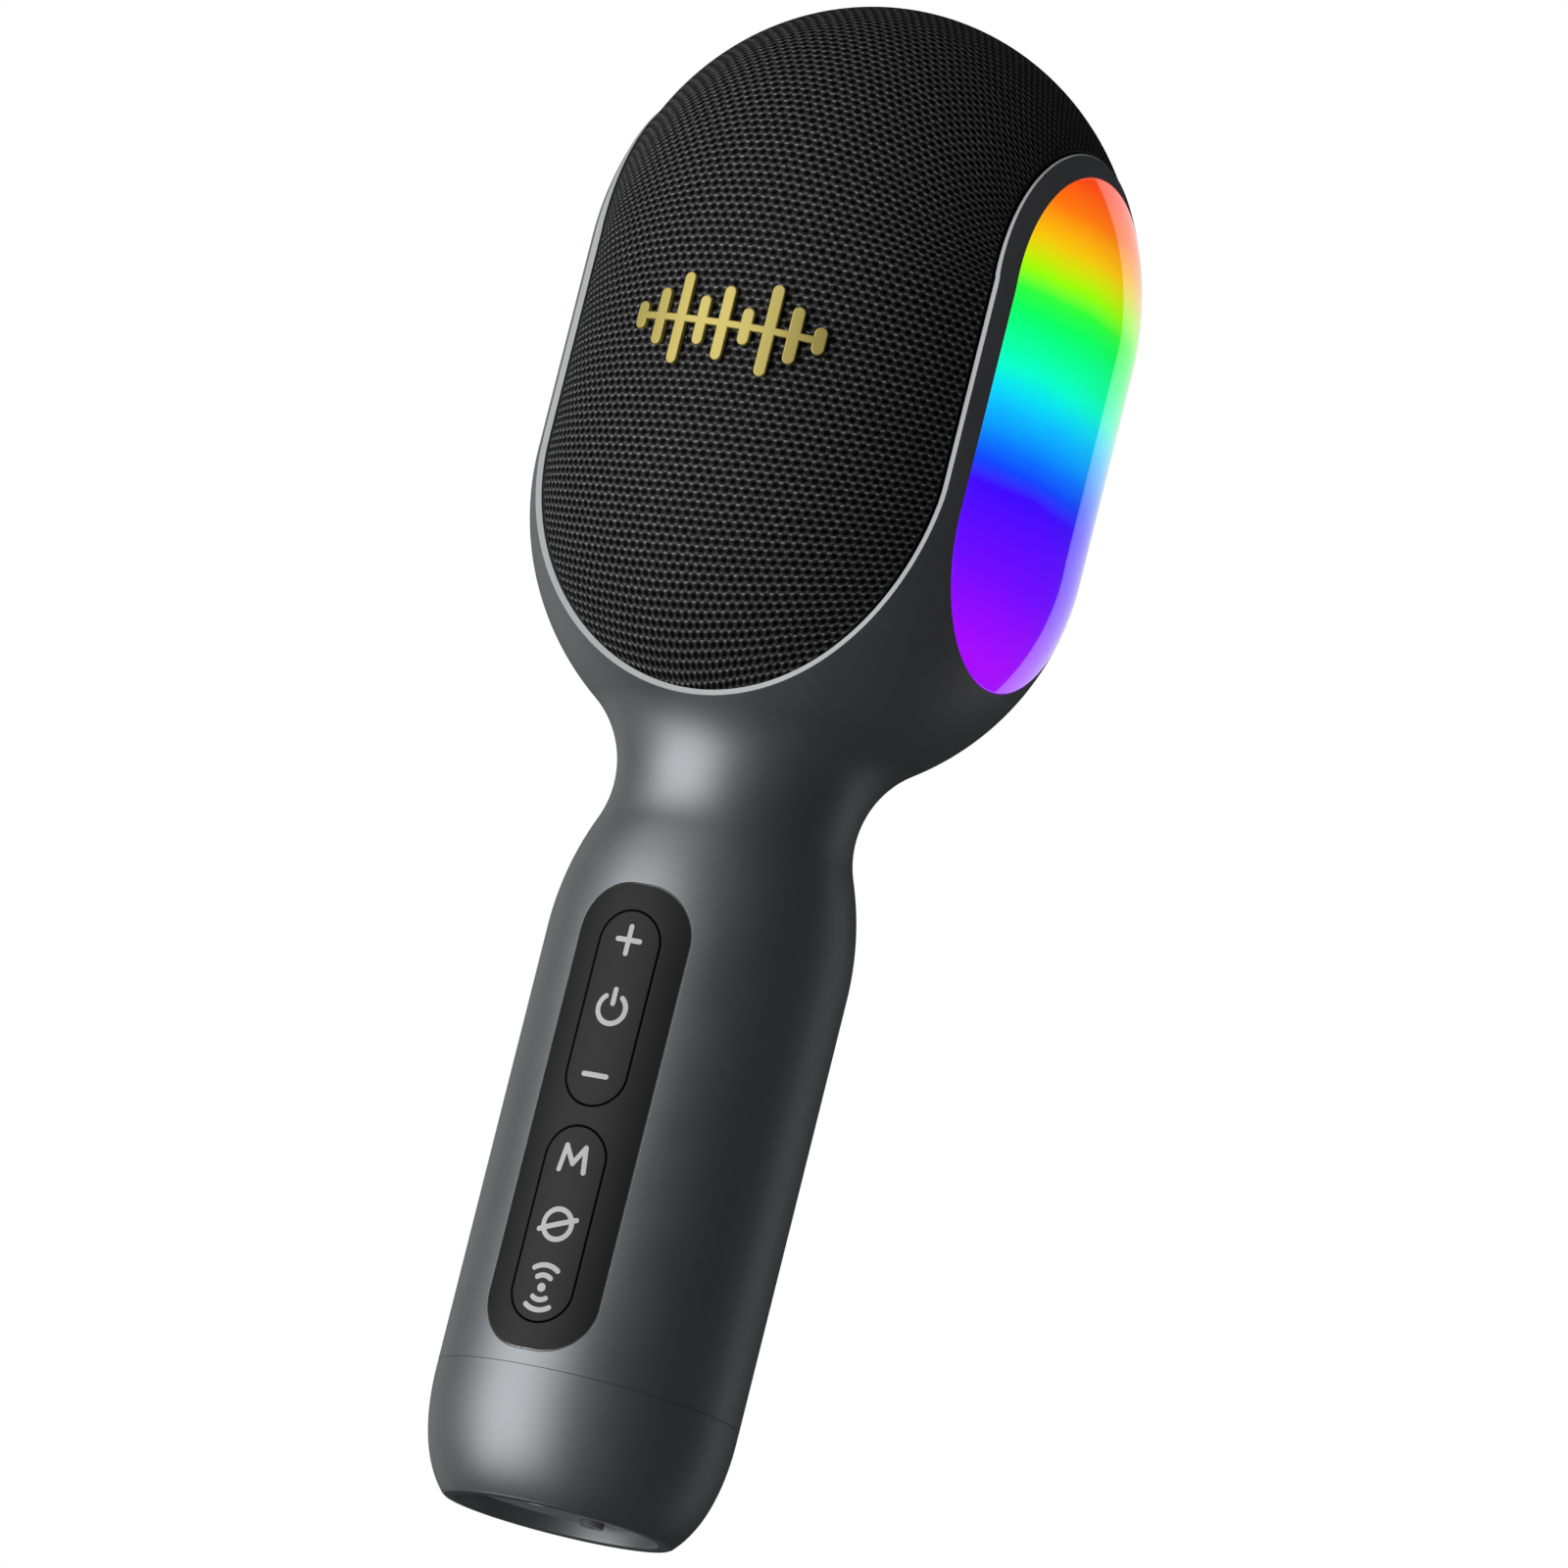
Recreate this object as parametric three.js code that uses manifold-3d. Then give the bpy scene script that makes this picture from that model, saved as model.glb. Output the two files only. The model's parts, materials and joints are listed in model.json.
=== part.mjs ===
// Karaoke microphone with a loudspeaker head, side lights and two three-way keys.
// Millimetres, +Z up along the microphone, the front (keys and badge) faces -Y,
// the origin is the centre of the rim that it stands on.
import * as THREE from 'three';
import { mergeVertices } from 'three/addons/utils/BufferGeometryUtils.js';
import Module from 'manifold-3d';

const wasm = await Module();
wasm.setup();

// ---------------------------------------------------------------- driving dimensions
const HEIGHT = 244.4;
const HANDLE_R = 24;
const HEAD_R = 43.6;
const NECK_R = 19.4;
const NECK_Z = 114.4;
const SHOULDER_Z = 90.2;
const BOWL_Z = 162.6;
const DOME_Z = 197.4;
const SEAM_Z = 20;
const WALL = 2.2;
const GAP = 0.3;
const ROUND_STEPS = 24;
const MEDIUM_STEPS = 20;
const SMALL_STEPS = 12;
const SCREW_STEPS = 6;
const FAR = 80;

// Round stretches that touch each other: neck to bowl, and handle to neck.
const NECK_FILLET = (NECK_R ** 2 + (BOWL_Z - NECK_Z) ** 2 - HEAD_R ** 2) / (2 * (HEAD_R - NECK_R));
const NECK_CENTRE_R = NECK_R + NECK_FILLET;
const SHOULDER_FILLET = ((NECK_CENTRE_R - HANDLE_R) ** 2 + (NECK_Z - SHOULDER_Z) ** 2 - NECK_FILLET ** 2)
  / (2 * (NECK_FILLET - NECK_CENTRE_R + HANDLE_R));
const NECK_START_Z = SHOULDER_Z + (NECK_Z - SHOULDER_Z) * SHOULDER_FILLET / (SHOULDER_FILLET + NECK_FILLET);
const BOWL_START_Z = BOWL_Z - (BOWL_Z - NECK_Z) * HEAD_R / (HEAD_R + NECK_FILLET);

// The grille opening between the two side arms.
const OPENING_HALF = 35.5;
const OPENING_CURVE_Z = 166;
const OPENING_CURVE_H = 38.7;
const ARCH_Z = 200.2;
const ARCH_R = 25.4;
const TRIM_WIDTH = 0.9;
const FABRIC_RECESS = 1.2;
const FABRIC_THICK = 0.8;
const FRAME_THICK = 1.5;
const FRAME_INSET = 2.6;
const FRAME_WINDOW = { half: 7, pitch: 18, rows: 4, columns: 3, lowZ: 147 };
const FRAME_SLOT = { from: 9, to: 22, half: 4, lowZ: 210 };

// The badge: rounded bars of these half heights on a thin line.
const BADGE_Z = 182.3;
const BADGE_BARS = [2.2, 4.6, 7.4, 4, 6, 3, 7.4, 4.6, 2.2];
const BADGE_PITCH = 3.9;
const BADGE_BAR_HALF = 1;
const BADGE_LINE = { halfX: 16.6, halfZ: 0.6, corner: 0.5 };
const BADGE_THICK = 0.7;

// Side lights.
const LENS_R = 22.6;
const LENS_LOW_Z = 162.6;
const LENS_HIGH_Z = 200.6;
const LENS_THICK = 2;
const DIFFUSER_R = 21.2;
const LED_BOARD_X = 33;
const LED_BOARD_THICK = 1.2;
const LED_BOARD_R = 11;
const LED_BOARD_ENDS = [158, 196];
const LED_COUNT = 6;
const LED_PITCH = 9;
const LED_HALF = 2.5;

// Key panel and its two keys.
const PANEL_HALF = 9.8;
const PANEL_LOW_Z = 22.3;
const PANEL_HIGH_Z = 97.1;
const PANEL_CORNER = 8.4;
const KEY_HALF = 5.35;
const KEYS = [
  { name: 'upper', low: 61.3, high: 92.7, icons: [87.9, 77.2, 66.2] },
  { name: 'lower', low: 26.7, high: 58.1, icons: [52.8, 42.3, 32.2] },
];
const KEY_THICK = 2;
const FACE_DEPTH = 0.1;
const UNDER_FACE_Y = -22.4;
const PIVOT_Y = -20.4;
const PIVOT_R = 0.8;
const POST_END_Y = -14.2;
const POST_R = 1.2;
const POST_HOLE_R = 1.7;
const GUIDE = { clearance: 0.05, thick: 1.95, endY: -15, half: 3 };
const LUG = { halfX: 3.4, halfZ: 1.9, endY: -19.1 };
const CARRIER = { halfX: 4.8, innerX: 3.8, halfZ: 2.2, frontY: -21.3, bridgeY: -17.4, backY: -15.6 };

// Loudspeaker and passive radiator, on an axis along Y.
const SPEAKER_Z = 167;
const BARREL_R = 29.5;
const BARREL_INNER_R = 25;
const BARREL_HALF = 22;
const FLANGE_R = 29;
const FLANGE_INNER_R = 22.8;
const FLANGE_THICK = 2;
const SCREW_RING_R = 27.2;
const SCREW_COUNT = 4;
const SCREW_HOLE_R = 1.3;
const SCREW_SHANK_R = 0.95;
const SCREW_DEPTH = 8.5;

// Bottom cap and ports.
const RIM_R = 18.2;
const RIM_INNER_R = 15.9;
const PORT_RECESS = 2.5;
const PORT_PLATE_THICK = 2.2;
const PORT_SCREW_Y = 11.5;
const PORT_SCREW_HEAD_R = 1.9;
const CAP_CURVE_TOP = 19;
const CAP_LEDGE_Z = 5.4;
const SPIGOT_HEIGHT = 6;
const SPIGOT_WALL = 1.8;
const USB_X = -2.1;
const JACK_X = 7.8;
const JACK_HOLE_R = 3.1;
const SOCKET_LOW = 3;
const SOCKET_TOP = 12;

// ---------------------------------------------------------------- materials
function finish(color, roughness, metalness) {
  return new THREE.MeshStandardMaterial({ color, roughness, metalness });
}

const PAINT = finish(0x3d4043, 0.38, 0.75);
const BLACK_PLASTIC = finish(0x202122, 0.6, 0);
const SATIN_SILVER = finish(0xa8abae, 0.3, 0.9);
const FABRIC = finish(0x141414, 0.95, 0);
const LENS = finish(0x8a5cff, 0.15, 0);
const DIFFUSER = finish(0xe9e9ec, 0.5, 0);
const GOLD = finish(0xbeac50, 0.35, 0.8);
const SOLDER_MASK = finish(0x1d5a35, 0.5, 0);
const STEEL = finish(0x9fa2a6, 0.35, 1);
const RUBBER = finish(0x161616, 0.85, 0);
const FOAM = finish(0x2a2a2a, 1, 0);
const PAPER = finish(0x2b2622, 0.8, 0);
const CELL = finish(0x3f6fb0, 0.45, 0);
const COPPER = finish(0xb56b3a, 0.4, 0.9);

// ---------------------------------------------------------------- solids
function trianglesOf(geometry) {
  const bare = geometry.clone();
  bare.deleteAttribute('normal');
  bare.deleteAttribute('uv');
  const merged = mergeVertices(bare, 1e-4);
  const index = merged.index.array;
  const kept = [];
  for (let i = 0; i < index.length; i += 3) {
    const [a, b, c] = [index[i], index[i + 1], index[i + 2]];
    if (a !== b && b !== c && c !== a) kept.push(a, b, c);
  }
  return { points: merged.attributes.position.array, kept };
}

function signedVolume(points, triangles) {
  const corner = (i) => new THREE.Vector3(points[3 * i], points[3 * i + 1], points[3 * i + 2]);
  let six = 0;
  for (let i = 0; i < triangles.length; i += 3) {
    const cross = corner(triangles[i + 1]).cross(corner(triangles[i + 2]));
    six += corner(triangles[i]).dot(cross);
  }
  return six / 6;
}

function solidOf(geometry) {
  const { points, kept } = trianglesOf(geometry);
  if (signedVolume(points, kept) < 0) kept.reverse();
  const mesh = new wasm.Mesh({
    numProp: 3,
    vertProperties: Float32Array.from(points),
    triVerts: Uint32Array.from(kept),
  });
  return new wasm.Manifold(mesh);
}

function turned(solid, turn) {
  const mesh = solid.getMesh();
  const geometry = new THREE.BufferGeometry();
  geometry.setAttribute('position', new THREE.BufferAttribute(Float32Array.from(mesh.vertProperties), 3));
  geometry.setIndex(Array.from(mesh.triVerts));
  geometry.applyMatrix4(turn);
  return solidOf(geometry);
}

function meshOf(name, solid, material) {
  const data = solid.getMesh();
  const geometry = new THREE.BufferGeometry();
  geometry.setAttribute('position', new THREE.BufferAttribute(Float32Array.from(data.vertProperties), 3));
  geometry.setIndex(Array.from(data.triVerts));
  geometry.computeVertexNormals();
  const mesh = new THREE.Mesh(geometry, material);
  mesh.name = name;
  return mesh;
}

const UP_FROM_LATHE = new THREE.Matrix4().makeRotationX(Math.PI / 2);
const ALONG_X = new THREE.Matrix4().makeBasis(
  new THREE.Vector3(0, 1, 0), new THREE.Vector3(0, 0, 1), new THREE.Vector3(1, 0, 0));
const ALONG_FRONT = new THREE.Matrix4().makeBasis(
  new THREE.Vector3(1, 0, 0), new THREE.Vector3(0, 0, 1), new THREE.Vector3(0, -1, 0));

// A closed or axis-to-axis outline of [radius, height] pairs, turned about Z.
function lathe(outline, steps = ROUND_STEPS) {
  const points = outline.map(([r, z]) => new THREE.Vector2(r, z));
  const geometry = new THREE.LatheGeometry(points, steps);
  geometry.applyMatrix4(UP_FROM_LATHE);
  return solidOf(geometry);
}

const ring = (inner, outer, low, high, steps = ROUND_STEPS) => lathe(
  [[inner, low], [outer, low], [outer, high], [inner, high], [inner, low]], steps);
const disc = (radius, low, high, steps = ROUND_STEPS) => lathe(
  [[0, low], [radius, low], [radius, high], [0, high]], steps);

function box(lowX, highX, lowY, highY, lowZ, highZ) {
  const geometry = new THREE.BoxGeometry(highX - lowX, highY - lowY, highZ - lowZ);
  geometry.translate((lowX + highX) / 2, (lowY + highY) / 2, (lowZ + highZ) / 2);
  return solidOf(geometry);
}

// A rod along X or Y between two places on that axis.
function rod(axis, radius, from, to, centre, steps = SMALL_STEPS) {
  const geometry = new THREE.CylinderGeometry(radius, radius, to - from, steps);
  if (axis === 'x') geometry.rotateZ(Math.PI / 2);
  const middle = (from + to) / 2;
  if (axis === 'x') geometry.translate(middle, centre[0], centre[1]);
  else geometry.translate(centre[0], middle, centre[1]);
  return solidOf(geometry);
}

// A flat outline pushed along X (outline in Y, Z) or along Y (outline in X, Z).
function prism(shape, axis, from, to, curveSteps = 10) {
  const geometry = new THREE.ExtrudeGeometry(shape, {
    depth: to - from, bevelEnabled: false, curveSegments: curveSteps, steps: 1,
  });
  if (axis === 'x') {
    geometry.translate(0, 0, from);
    geometry.applyMatrix4(ALONG_X);
  } else {
    geometry.translate(0, 0, -to);
    geometry.applyMatrix4(ALONG_FRONT);
  }
  return solidOf(geometry);
}

// An upright outline with straight sides and half-round ends.
function stadium(radius, lowCentre, highCentre) {
  const shape = new THREE.Shape();
  shape.absarc(0, highCentre, radius, 0, Math.PI, false);
  shape.absarc(0, lowCentre, radius, Math.PI, 2 * Math.PI, false);
  shape.closePath();
  return shape;
}

function roundedBox(half, low, high, corner) {
  const shape = new THREE.Shape();
  shape.absarc(half - corner, high - corner, corner, 0, Math.PI / 2, false);
  shape.absarc(corner - half, high - corner, corner, Math.PI / 2, Math.PI, false);
  shape.absarc(corner - half, low + corner, corner, Math.PI, 1.5 * Math.PI, false);
  shape.absarc(half - corner, low + corner, corner, 1.5 * Math.PI, 2 * Math.PI, false);
  shape.closePath();
  return shape;
}

const joined = (solids) => solids.reduce((all, next) => all.add(next));
const without = (solid, cuts) => cuts.reduce((left, cut) => left.subtract(cut), solid);

// ---------------------------------------------------------------- the outer form
function outerRadius(z) {
  if (z <= SHOULDER_Z) return HANDLE_R;
  if (z <= NECK_START_Z) {
    return HANDLE_R - SHOULDER_FILLET + Math.sqrt(SHOULDER_FILLET ** 2 - (z - SHOULDER_Z) ** 2);
  }
  if (z <= BOWL_START_Z) return NECK_CENTRE_R - Math.sqrt(NECK_FILLET ** 2 - (z - NECK_Z) ** 2);
  if (z <= BOWL_Z) return Math.sqrt(HEAD_R ** 2 - (BOWL_Z - z) ** 2);
  if (z <= DOME_Z) return HEAD_R;
  return HEAD_R * Math.sqrt(Math.max(1 - ((z - DOME_Z) / (HEIGHT - DOME_Z)) ** 2, 0));
}

function outerNormal(z) {
  if (z > DOME_Z) {
    const normal = new THREE.Vector2(outerRadius(z) / HEAD_R ** 2, (z - DOME_Z) / (HEIGHT - DOME_Z) ** 2);
    return normal.normalize();
  }
  const step = 0.01;
  const slope = (outerRadius(z + step) - outerRadius(z - step)) / (2 * step);
  return new THREE.Vector2(1, -slope).normalize();
}

// Heights of the outline's points: close together where it curves.
function outlineHeights(low, high) {
  const heights = [low];
  const spread = (from, to, count) => {
    for (let i = 0; i <= count; i += 1) heights.push(from + (to - from) * i / count);
  };
  spread(SHOULDER_Z, NECK_START_Z, 2);
  spread(NECK_START_Z, BOWL_START_Z, 5);
  const bowlAngle = Math.asin((BOWL_Z - BOWL_START_Z) / HEAD_R);
  for (let i = 1; i <= 4; i += 1) heights.push(BOWL_Z - HEAD_R * Math.sin(bowlAngle * (1 - i / 4)));
  for (let i = 0; i <= 6; i += 1) heights.push(DOME_Z + (HEIGHT - DOME_Z) * Math.sin(i * Math.PI / 12));
  heights.push(high);
  const sorted = heights.filter((z) => z >= low && z <= high).sort((a, b) => a - b);
  return sorted.filter((z, i) => i === 0 || z - sorted[i - 1] > 0.5);
}

function offsetPoint(z, depth) {
  const normal = outerNormal(z);
  return [Math.max(outerRadius(z) - depth * normal.x, 0), z - depth * normal.y];
}

// A shell that follows the outer form, between two depths under it.
function formShell(low, high, outerDepth, innerDepth) {
  const heights = outlineHeights(low, high);
  const outside = heights.map((z) => offsetPoint(z, outerDepth(z)));
  const inside = heights.map((z) => offsetPoint(z, innerDepth(z))).reverse();
  return lathe([...outside, ...inside, outside[0]]);
}

const depthOf = (depth) => () => depth;
const fabricDepth = (z) => FABRIC_RECESS * Math.min(1, (HEIGHT - z) / (HEIGHT - DOME_Z)) ** 1.5;

// Everything within the arms' edge angle of the front or the back, seen from above.
function wedge(inset) {
  const edgeSlope = OPENING_HALF / Math.sqrt(HEAD_R ** 2 - OPENING_HALF ** 2);
  const tip = inset * Math.sqrt(1 + edgeSlope ** 2) / edgeSlope;
  const reach = HEAD_R + 20;
  const sector = new THREE.Shape();
  sector.moveTo(0, tip);
  sector.lineTo(reach * edgeSlope, tip + reach);
  sector.lineTo(-reach * edgeSlope, tip + reach);
  sector.closePath();
  const back = prismUp(sector, 0, HEIGHT + 20);
  return back.add(back.mirror([0, 1, 0]));
}

// The open region of the head, drawn in by an inset: front and back, and over the arms.
function openRegion(inset) {
  const reach = HEAD_R + 10;
  const half = OPENING_HALF + 1 - inset;
  const front = new THREE.Shape();
  front.moveTo(half, HEIGHT + 10);
  front.lineTo(-half, HEIGHT + 10);
  const curveHeight = OPENING_CURVE_H - inset;
  front.absellipse(0, OPENING_CURVE_Z, OPENING_HALF - inset, curveHeight, Math.PI, 2 * Math.PI, false, 0);
  front.closePath();
  const over = new THREE.Shape();
  over.moveTo(reach, ARCH_Z);
  over.lineTo(reach, HEIGHT + 10);
  over.lineTo(-reach, HEIGHT + 10);
  over.lineTo(-reach, ARCH_Z);
  over.absarc(0, ARCH_Z, ARCH_R + inset, Math.PI, 0, true);
  over.closePath();
  const faces = prism(front, 'y', -reach, reach, 8).intersect(wedge(inset));
  return faces.add(prism(over, 'x', -reach, reach, 6));
}

// ---------------------------------------------------------------- shell and covers
function mainHousing() {
  const shell = formShell(SEAM_Z, HEIGHT - 12, depthOf(0), depthOf(WALL));
  const lensHole = prism(stadium(LENS_R, LENS_LOW_Z, LENS_HIGH_Z), 'x', -FAR, FAR, 8);
  const panelHole = prism(roundedBox(PANEL_HALF, PANEL_LOW_Z, PANEL_HIGH_Z, PANEL_CORNER), 'y', -FAR, 0, 6);
  return without(shell, [openRegion(0), lensHole, panelHole]);
}

function capOutline() {
  const curve = new THREE.CubicBezierCurve(
    new THREE.Vector2(RIM_R, 0), new THREE.Vector2(21.6, 3.4),
    new THREE.Vector2(HANDLE_R, 9.5), new THREE.Vector2(HANDLE_R, CAP_CURVE_TOP));
  const outside = curve.getPoints(6).map((p) => [p.x, p.y]);
  const spigotR = HANDLE_R - WALL - GAP;
  const spigotInnerR = spigotR - SPIGOT_WALL;
  const seam = SEAM_Z - GAP;
  const spigotTop = seam + SPIGOT_HEIGHT;
  const ledgeR = RIM_INNER_R - 1.5;
  const ledgeLow = PORT_RECESS + PORT_PLATE_THICK + 0.1 + GAP;
  const inside = [
    [HANDLE_R, seam], [spigotR, seam], [spigotR, spigotTop], [spigotInnerR, spigotTop],
    [spigotInnerR, CAP_LEDGE_Z + 5.6], [RIM_INNER_R + 1.2, CAP_LEDGE_Z], [ledgeR, CAP_LEDGE_Z],
    [ledgeR, ledgeLow], [RIM_INNER_R, ledgeLow], [RIM_INNER_R, 0], [RIM_R, 0],
  ];
  return [...outside, ...inside];
}

function portPlate() {
  const plate = disc(RIM_INNER_R - GAP, PORT_RECESS, PORT_RECESS + PORT_PLATE_THICK);
  const usbHole = prismUp(roundedFlat(4.8, 1.9, 1.8), 0, SOCKET_TOP).translate([USB_X, 0, 0]);
  const jackHole = disc(JACK_HOLE_R, 0, SOCKET_TOP, SMALL_STEPS).translate([JACK_X, 0, 0]);
  const screwHoles = [-PORT_SCREW_Y, PORT_SCREW_Y].map((y) => (
    disc(SCREW_HOLE_R, 0, SOCKET_TOP, SCREW_STEPS).translate([0, y, 0])));
  return without(plate, [usbHole, jackHole, ...screwHoles]);
}

function roundedFlat(halfX, halfY, corner) {
  const shape = new THREE.Shape();
  shape.absarc(halfX - corner, halfY - corner, corner, 0, Math.PI / 2, false);
  shape.absarc(corner - halfX, halfY - corner, corner, Math.PI / 2, Math.PI, false);
  shape.absarc(corner - halfX, corner - halfY, corner, Math.PI, 1.5 * Math.PI, false);
  shape.absarc(halfX - corner, corner - halfY, corner, 1.5 * Math.PI, 2 * Math.PI, false);
  shape.closePath();
  return shape;
}

function prismUp(shape, low, high, curveSteps = 4) {
  const geometry = new THREE.ExtrudeGeometry(shape, {
    depth: high - low, bevelEnabled: false, curveSegments: curveSteps, steps: 1,
  });
  geometry.translate(0, 0, low);
  return solidOf(geometry);
}

function usbSocket() {
  const shell = prismUp(roundedFlat(4.45, 1.6, 1.5), SOCKET_LOW, SOCKET_TOP);
  const mouth = prismUp(roundedFlat(4.1, 1.25, 1.2), SOCKET_LOW - 1, SOCKET_TOP - 1.5);
  const tongue = box(-3.3, 3.3, -0.35, 0.35, SOCKET_LOW + 1, SOCKET_TOP);
  return shell.subtract(mouth).add(tongue).translate([USB_X, 0, 0]);
}

function audioJack() {
  const sleeve = disc(JACK_HOLE_R - GAP, SOCKET_LOW, SOCKET_LOW + 4, SMALL_STEPS);
  const body = sleeve.add(box(-3, 3, -3, 3, SOCKET_LOW + 3, SOCKET_TOP));
  const bore = disc(1.8, SOCKET_LOW - 1, SOCKET_TOP - 1.5, SMALL_STEPS);
  return body.subtract(bore).translate([JACK_X, 0, 0]);
}

function portBoard() {
  const low = SOCKET_TOP + GAP;
  return box(-10.5, 13, -6.5, 6.5, low, low + 1.4);
}

function portScrew(y) {
  const head = disc(PORT_SCREW_HEAD_R, PORT_RECESS - 1.1, PORT_RECESS - GAP, SCREW_STEPS);
  const shank = disc(SCREW_SHANK_R, PORT_RECESS - 0.6, PORT_RECESS + 7.3, SCREW_STEPS);
  return head.add(shank).translate([0, y, 0]);
}

// ---------------------------------------------------------------- keys
const stadiumOf = (half, low, high) => stadium(half, low + half, high - half);
const handleShell = (low, high, outer, inner) => ring(HANDLE_R - inner, HANDLE_R - outer, low, high);

// Two ribs behind the panel that guide one key.
function keyGuides(key) {
  const middle = key.icons[1];
  const near = KEY_HALF + GUIDE.clearance;
  const low = middle - GUIDE.half;
  const right = box(near, near + GUIDE.thick, UNDER_FACE_Y, GUIDE.endY, low, low + 2 * GUIDE.half);
  return [right, right.mirror([1, 0, 0])];
}

function keyPanel() {
  const outline = roundedBox(PANEL_HALF - GAP, PANEL_LOW_Z + GAP, PANEL_HIGH_Z - GAP, PANEL_CORNER - GAP);
  const face = handleShell(PANEL_LOW_Z - 2, PANEL_HIGH_Z + 2, FACE_DEPTH, KEY_THICK)
    .intersect(prism(outline, 'y', -FAR, 0, 6));
  const holes = KEYS.map((key) => prism(stadiumOf(KEY_HALF, key.low, key.high), 'y', -FAR, 0, 8));
  return joined([without(face, holes), ...KEYS.flatMap(keyGuides)]);
}

function keyCap(key) {
  const middle = key.icons[1];
  const underFace = UNDER_FACE_Y - 0.2;
  const outline = stadiumOf(KEY_HALF - GAP, key.low + GAP, key.high - GAP);
  const shell = handleShell(key.low, key.high, FACE_DEPTH, KEY_THICK);
  const cap = shell.intersect(prism(outline, 'y', -FAR, 0, 8));
  const posts = key.icons.map((z) => rod('y', POST_R, underFace, POST_END_Y, [0, z], SCREW_STEPS));
  const lug = box(-LUG.halfX, LUG.halfX, underFace, LUG.endY, middle - LUG.halfZ, middle + LUG.halfZ);
  const pinHole = rod('x', PIVOT_R + 0.25, -KEY_HALF, KEY_HALF, [PIVOT_Y, middle]);
  return joined([cap, ...posts, lug]).subtract(pinHole);
}

function keyCarrier(key) {
  const middle = key.icons[1];
  const low = middle - CARRIER.halfZ;
  const high = middle + CARRIER.halfZ;
  const arm = box(CARRIER.innerX, CARRIER.halfX, CARRIER.frontY, CARRIER.backY, low, high);
  const bridge = box(-CARRIER.halfX, CARRIER.halfX, CARRIER.bridgeY, CARRIER.backY, low, high);
  const pinEnd = (CARRIER.innerX + CARRIER.halfX) / 2;
  const pin = rod('x', PIVOT_R, -pinEnd, pinEnd, [PIVOT_Y, middle]);
  const postHole = rod('y', POST_HOLE_R, CARRIER.frontY, CARRIER.backY + 1, [0, middle]);
  return joined([arm, arm.mirror([1, 0, 0]), bridge.subtract(postHole), pin]);
}

const BOARD_FRONT_Y = -9.6;
const BOARD_BACK_Y = -8;
const SWITCH = { half: 2.6, base: 2, plungerR: 1.5, frontY: -13.2 };
function tactSwitch(z) {
  const backY = BOARD_FRONT_Y - GAP;
  const base = box(-SWITCH.half, SWITCH.half, backY - SWITCH.base, backY, z - SWITCH.half, z + SWITCH.half);
  return base.add(rod('y', SWITCH.plungerR, SWITCH.frontY, backY - 1, [0, z], SCREW_STEPS));
}

// ---------------------------------------------------------------- handle inside
const CELL_Y = 7.5;
const CELL_R = 9.25;
const CELL_LOW_Z = 29;
const CELL_LENGTH = 65;
const CELL_TOP_Z = CELL_LOW_Z + CELL_LENGTH;
const CELL_CAP = { radius: 3.2, height: 1.4 };
const CELL_END_SPACE = 1.4;
const CRADLE = { halfX: 10.2, frontY: 5.2, backY: 17.6, lowZ: 26, highZ: 97 };
const CONTACT = { radius: 4, thick: 0.6 };
const BOARD = { halfX: 12.5, lowZ: 24.5, highZ: 97 };
// The larger parts on the board's back, as [x, z, half width].
const BOARD_PARTS = [[-8, 60, 3], [7, 66, 2.2], [-7, 42, 2.5], [6, 34, 3]];
const BOARD_PART_HEIGHT = 1.3;
const MODULE = { halfX: 7, backY: BOARD_BACK_Y + 2.1, lowZ: 76, highZ: 94 };

function batteryCell() {
  const shoulder = CELL_TOP_Z - CELL_CAP.height;
  const outline = [
    [0, CELL_LOW_Z], [CELL_R, CELL_LOW_Z], [CELL_R, shoulder], [CELL_CAP.radius, shoulder],
    [CELL_CAP.radius, CELL_TOP_Z], [0, CELL_TOP_Z],
  ];
  return lathe(outline, MEDIUM_STEPS).translate([0, CELL_Y, 0]);
}

function batteryCradle() {
  const block = box(-CRADLE.halfX, CRADLE.halfX, CRADLE.frontY, CRADLE.backY, CRADLE.lowZ, CRADLE.highZ);
  const seat = disc(CELL_R + 0.35, CELL_LOW_Z - CELL_END_SPACE, CELL_TOP_Z + CELL_END_SPACE, MEDIUM_STEPS);
  return block.subtract(seat.translate([0, CELL_Y, 0]));
}

function batteryContact(low) {
  return disc(CONTACT.radius, low, low + CONTACT.thick, SMALL_STEPS).translate([0, CELL_Y + 1, 0]);
}

function mainBoard() {
  const plate = box(-BOARD.halfX, BOARD.halfX, BOARD_FRONT_Y, BOARD_BACK_Y, BOARD.lowZ, BOARD.highZ);
  const backY = BOARD_BACK_Y + BOARD_PART_HEIGHT;
  const lumps = BOARD_PARTS.map(([x, z, half]) => (
    box(x - half, x + half, BOARD_BACK_Y - 0.2, backY, z - half, z + half)));
  return joined([plate, ...lumps]);
}

function wirelessModule() {
  return box(-MODULE.halfX, MODULE.halfX, BOARD_BACK_Y + GAP, MODULE.backY, MODULE.lowZ, MODULE.highZ);
}

// ---------------------------------------------------------------- lights
function sideShell(radius, outerDepth, innerDepth, side) {
  const low = LENS_LOW_Z - LENS_R - 10;
  const shell = formShell(low, HEIGHT - 8, depthOf(outerDepth), depthOf(innerDepth));
  const outline = prism(stadium(radius, LENS_LOW_Z, LENS_HIGH_Z), 'x', 0, FAR, 8);
  return shell.intersect(side > 0 ? outline : outline.mirror([1, 0, 0]));
}

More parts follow.
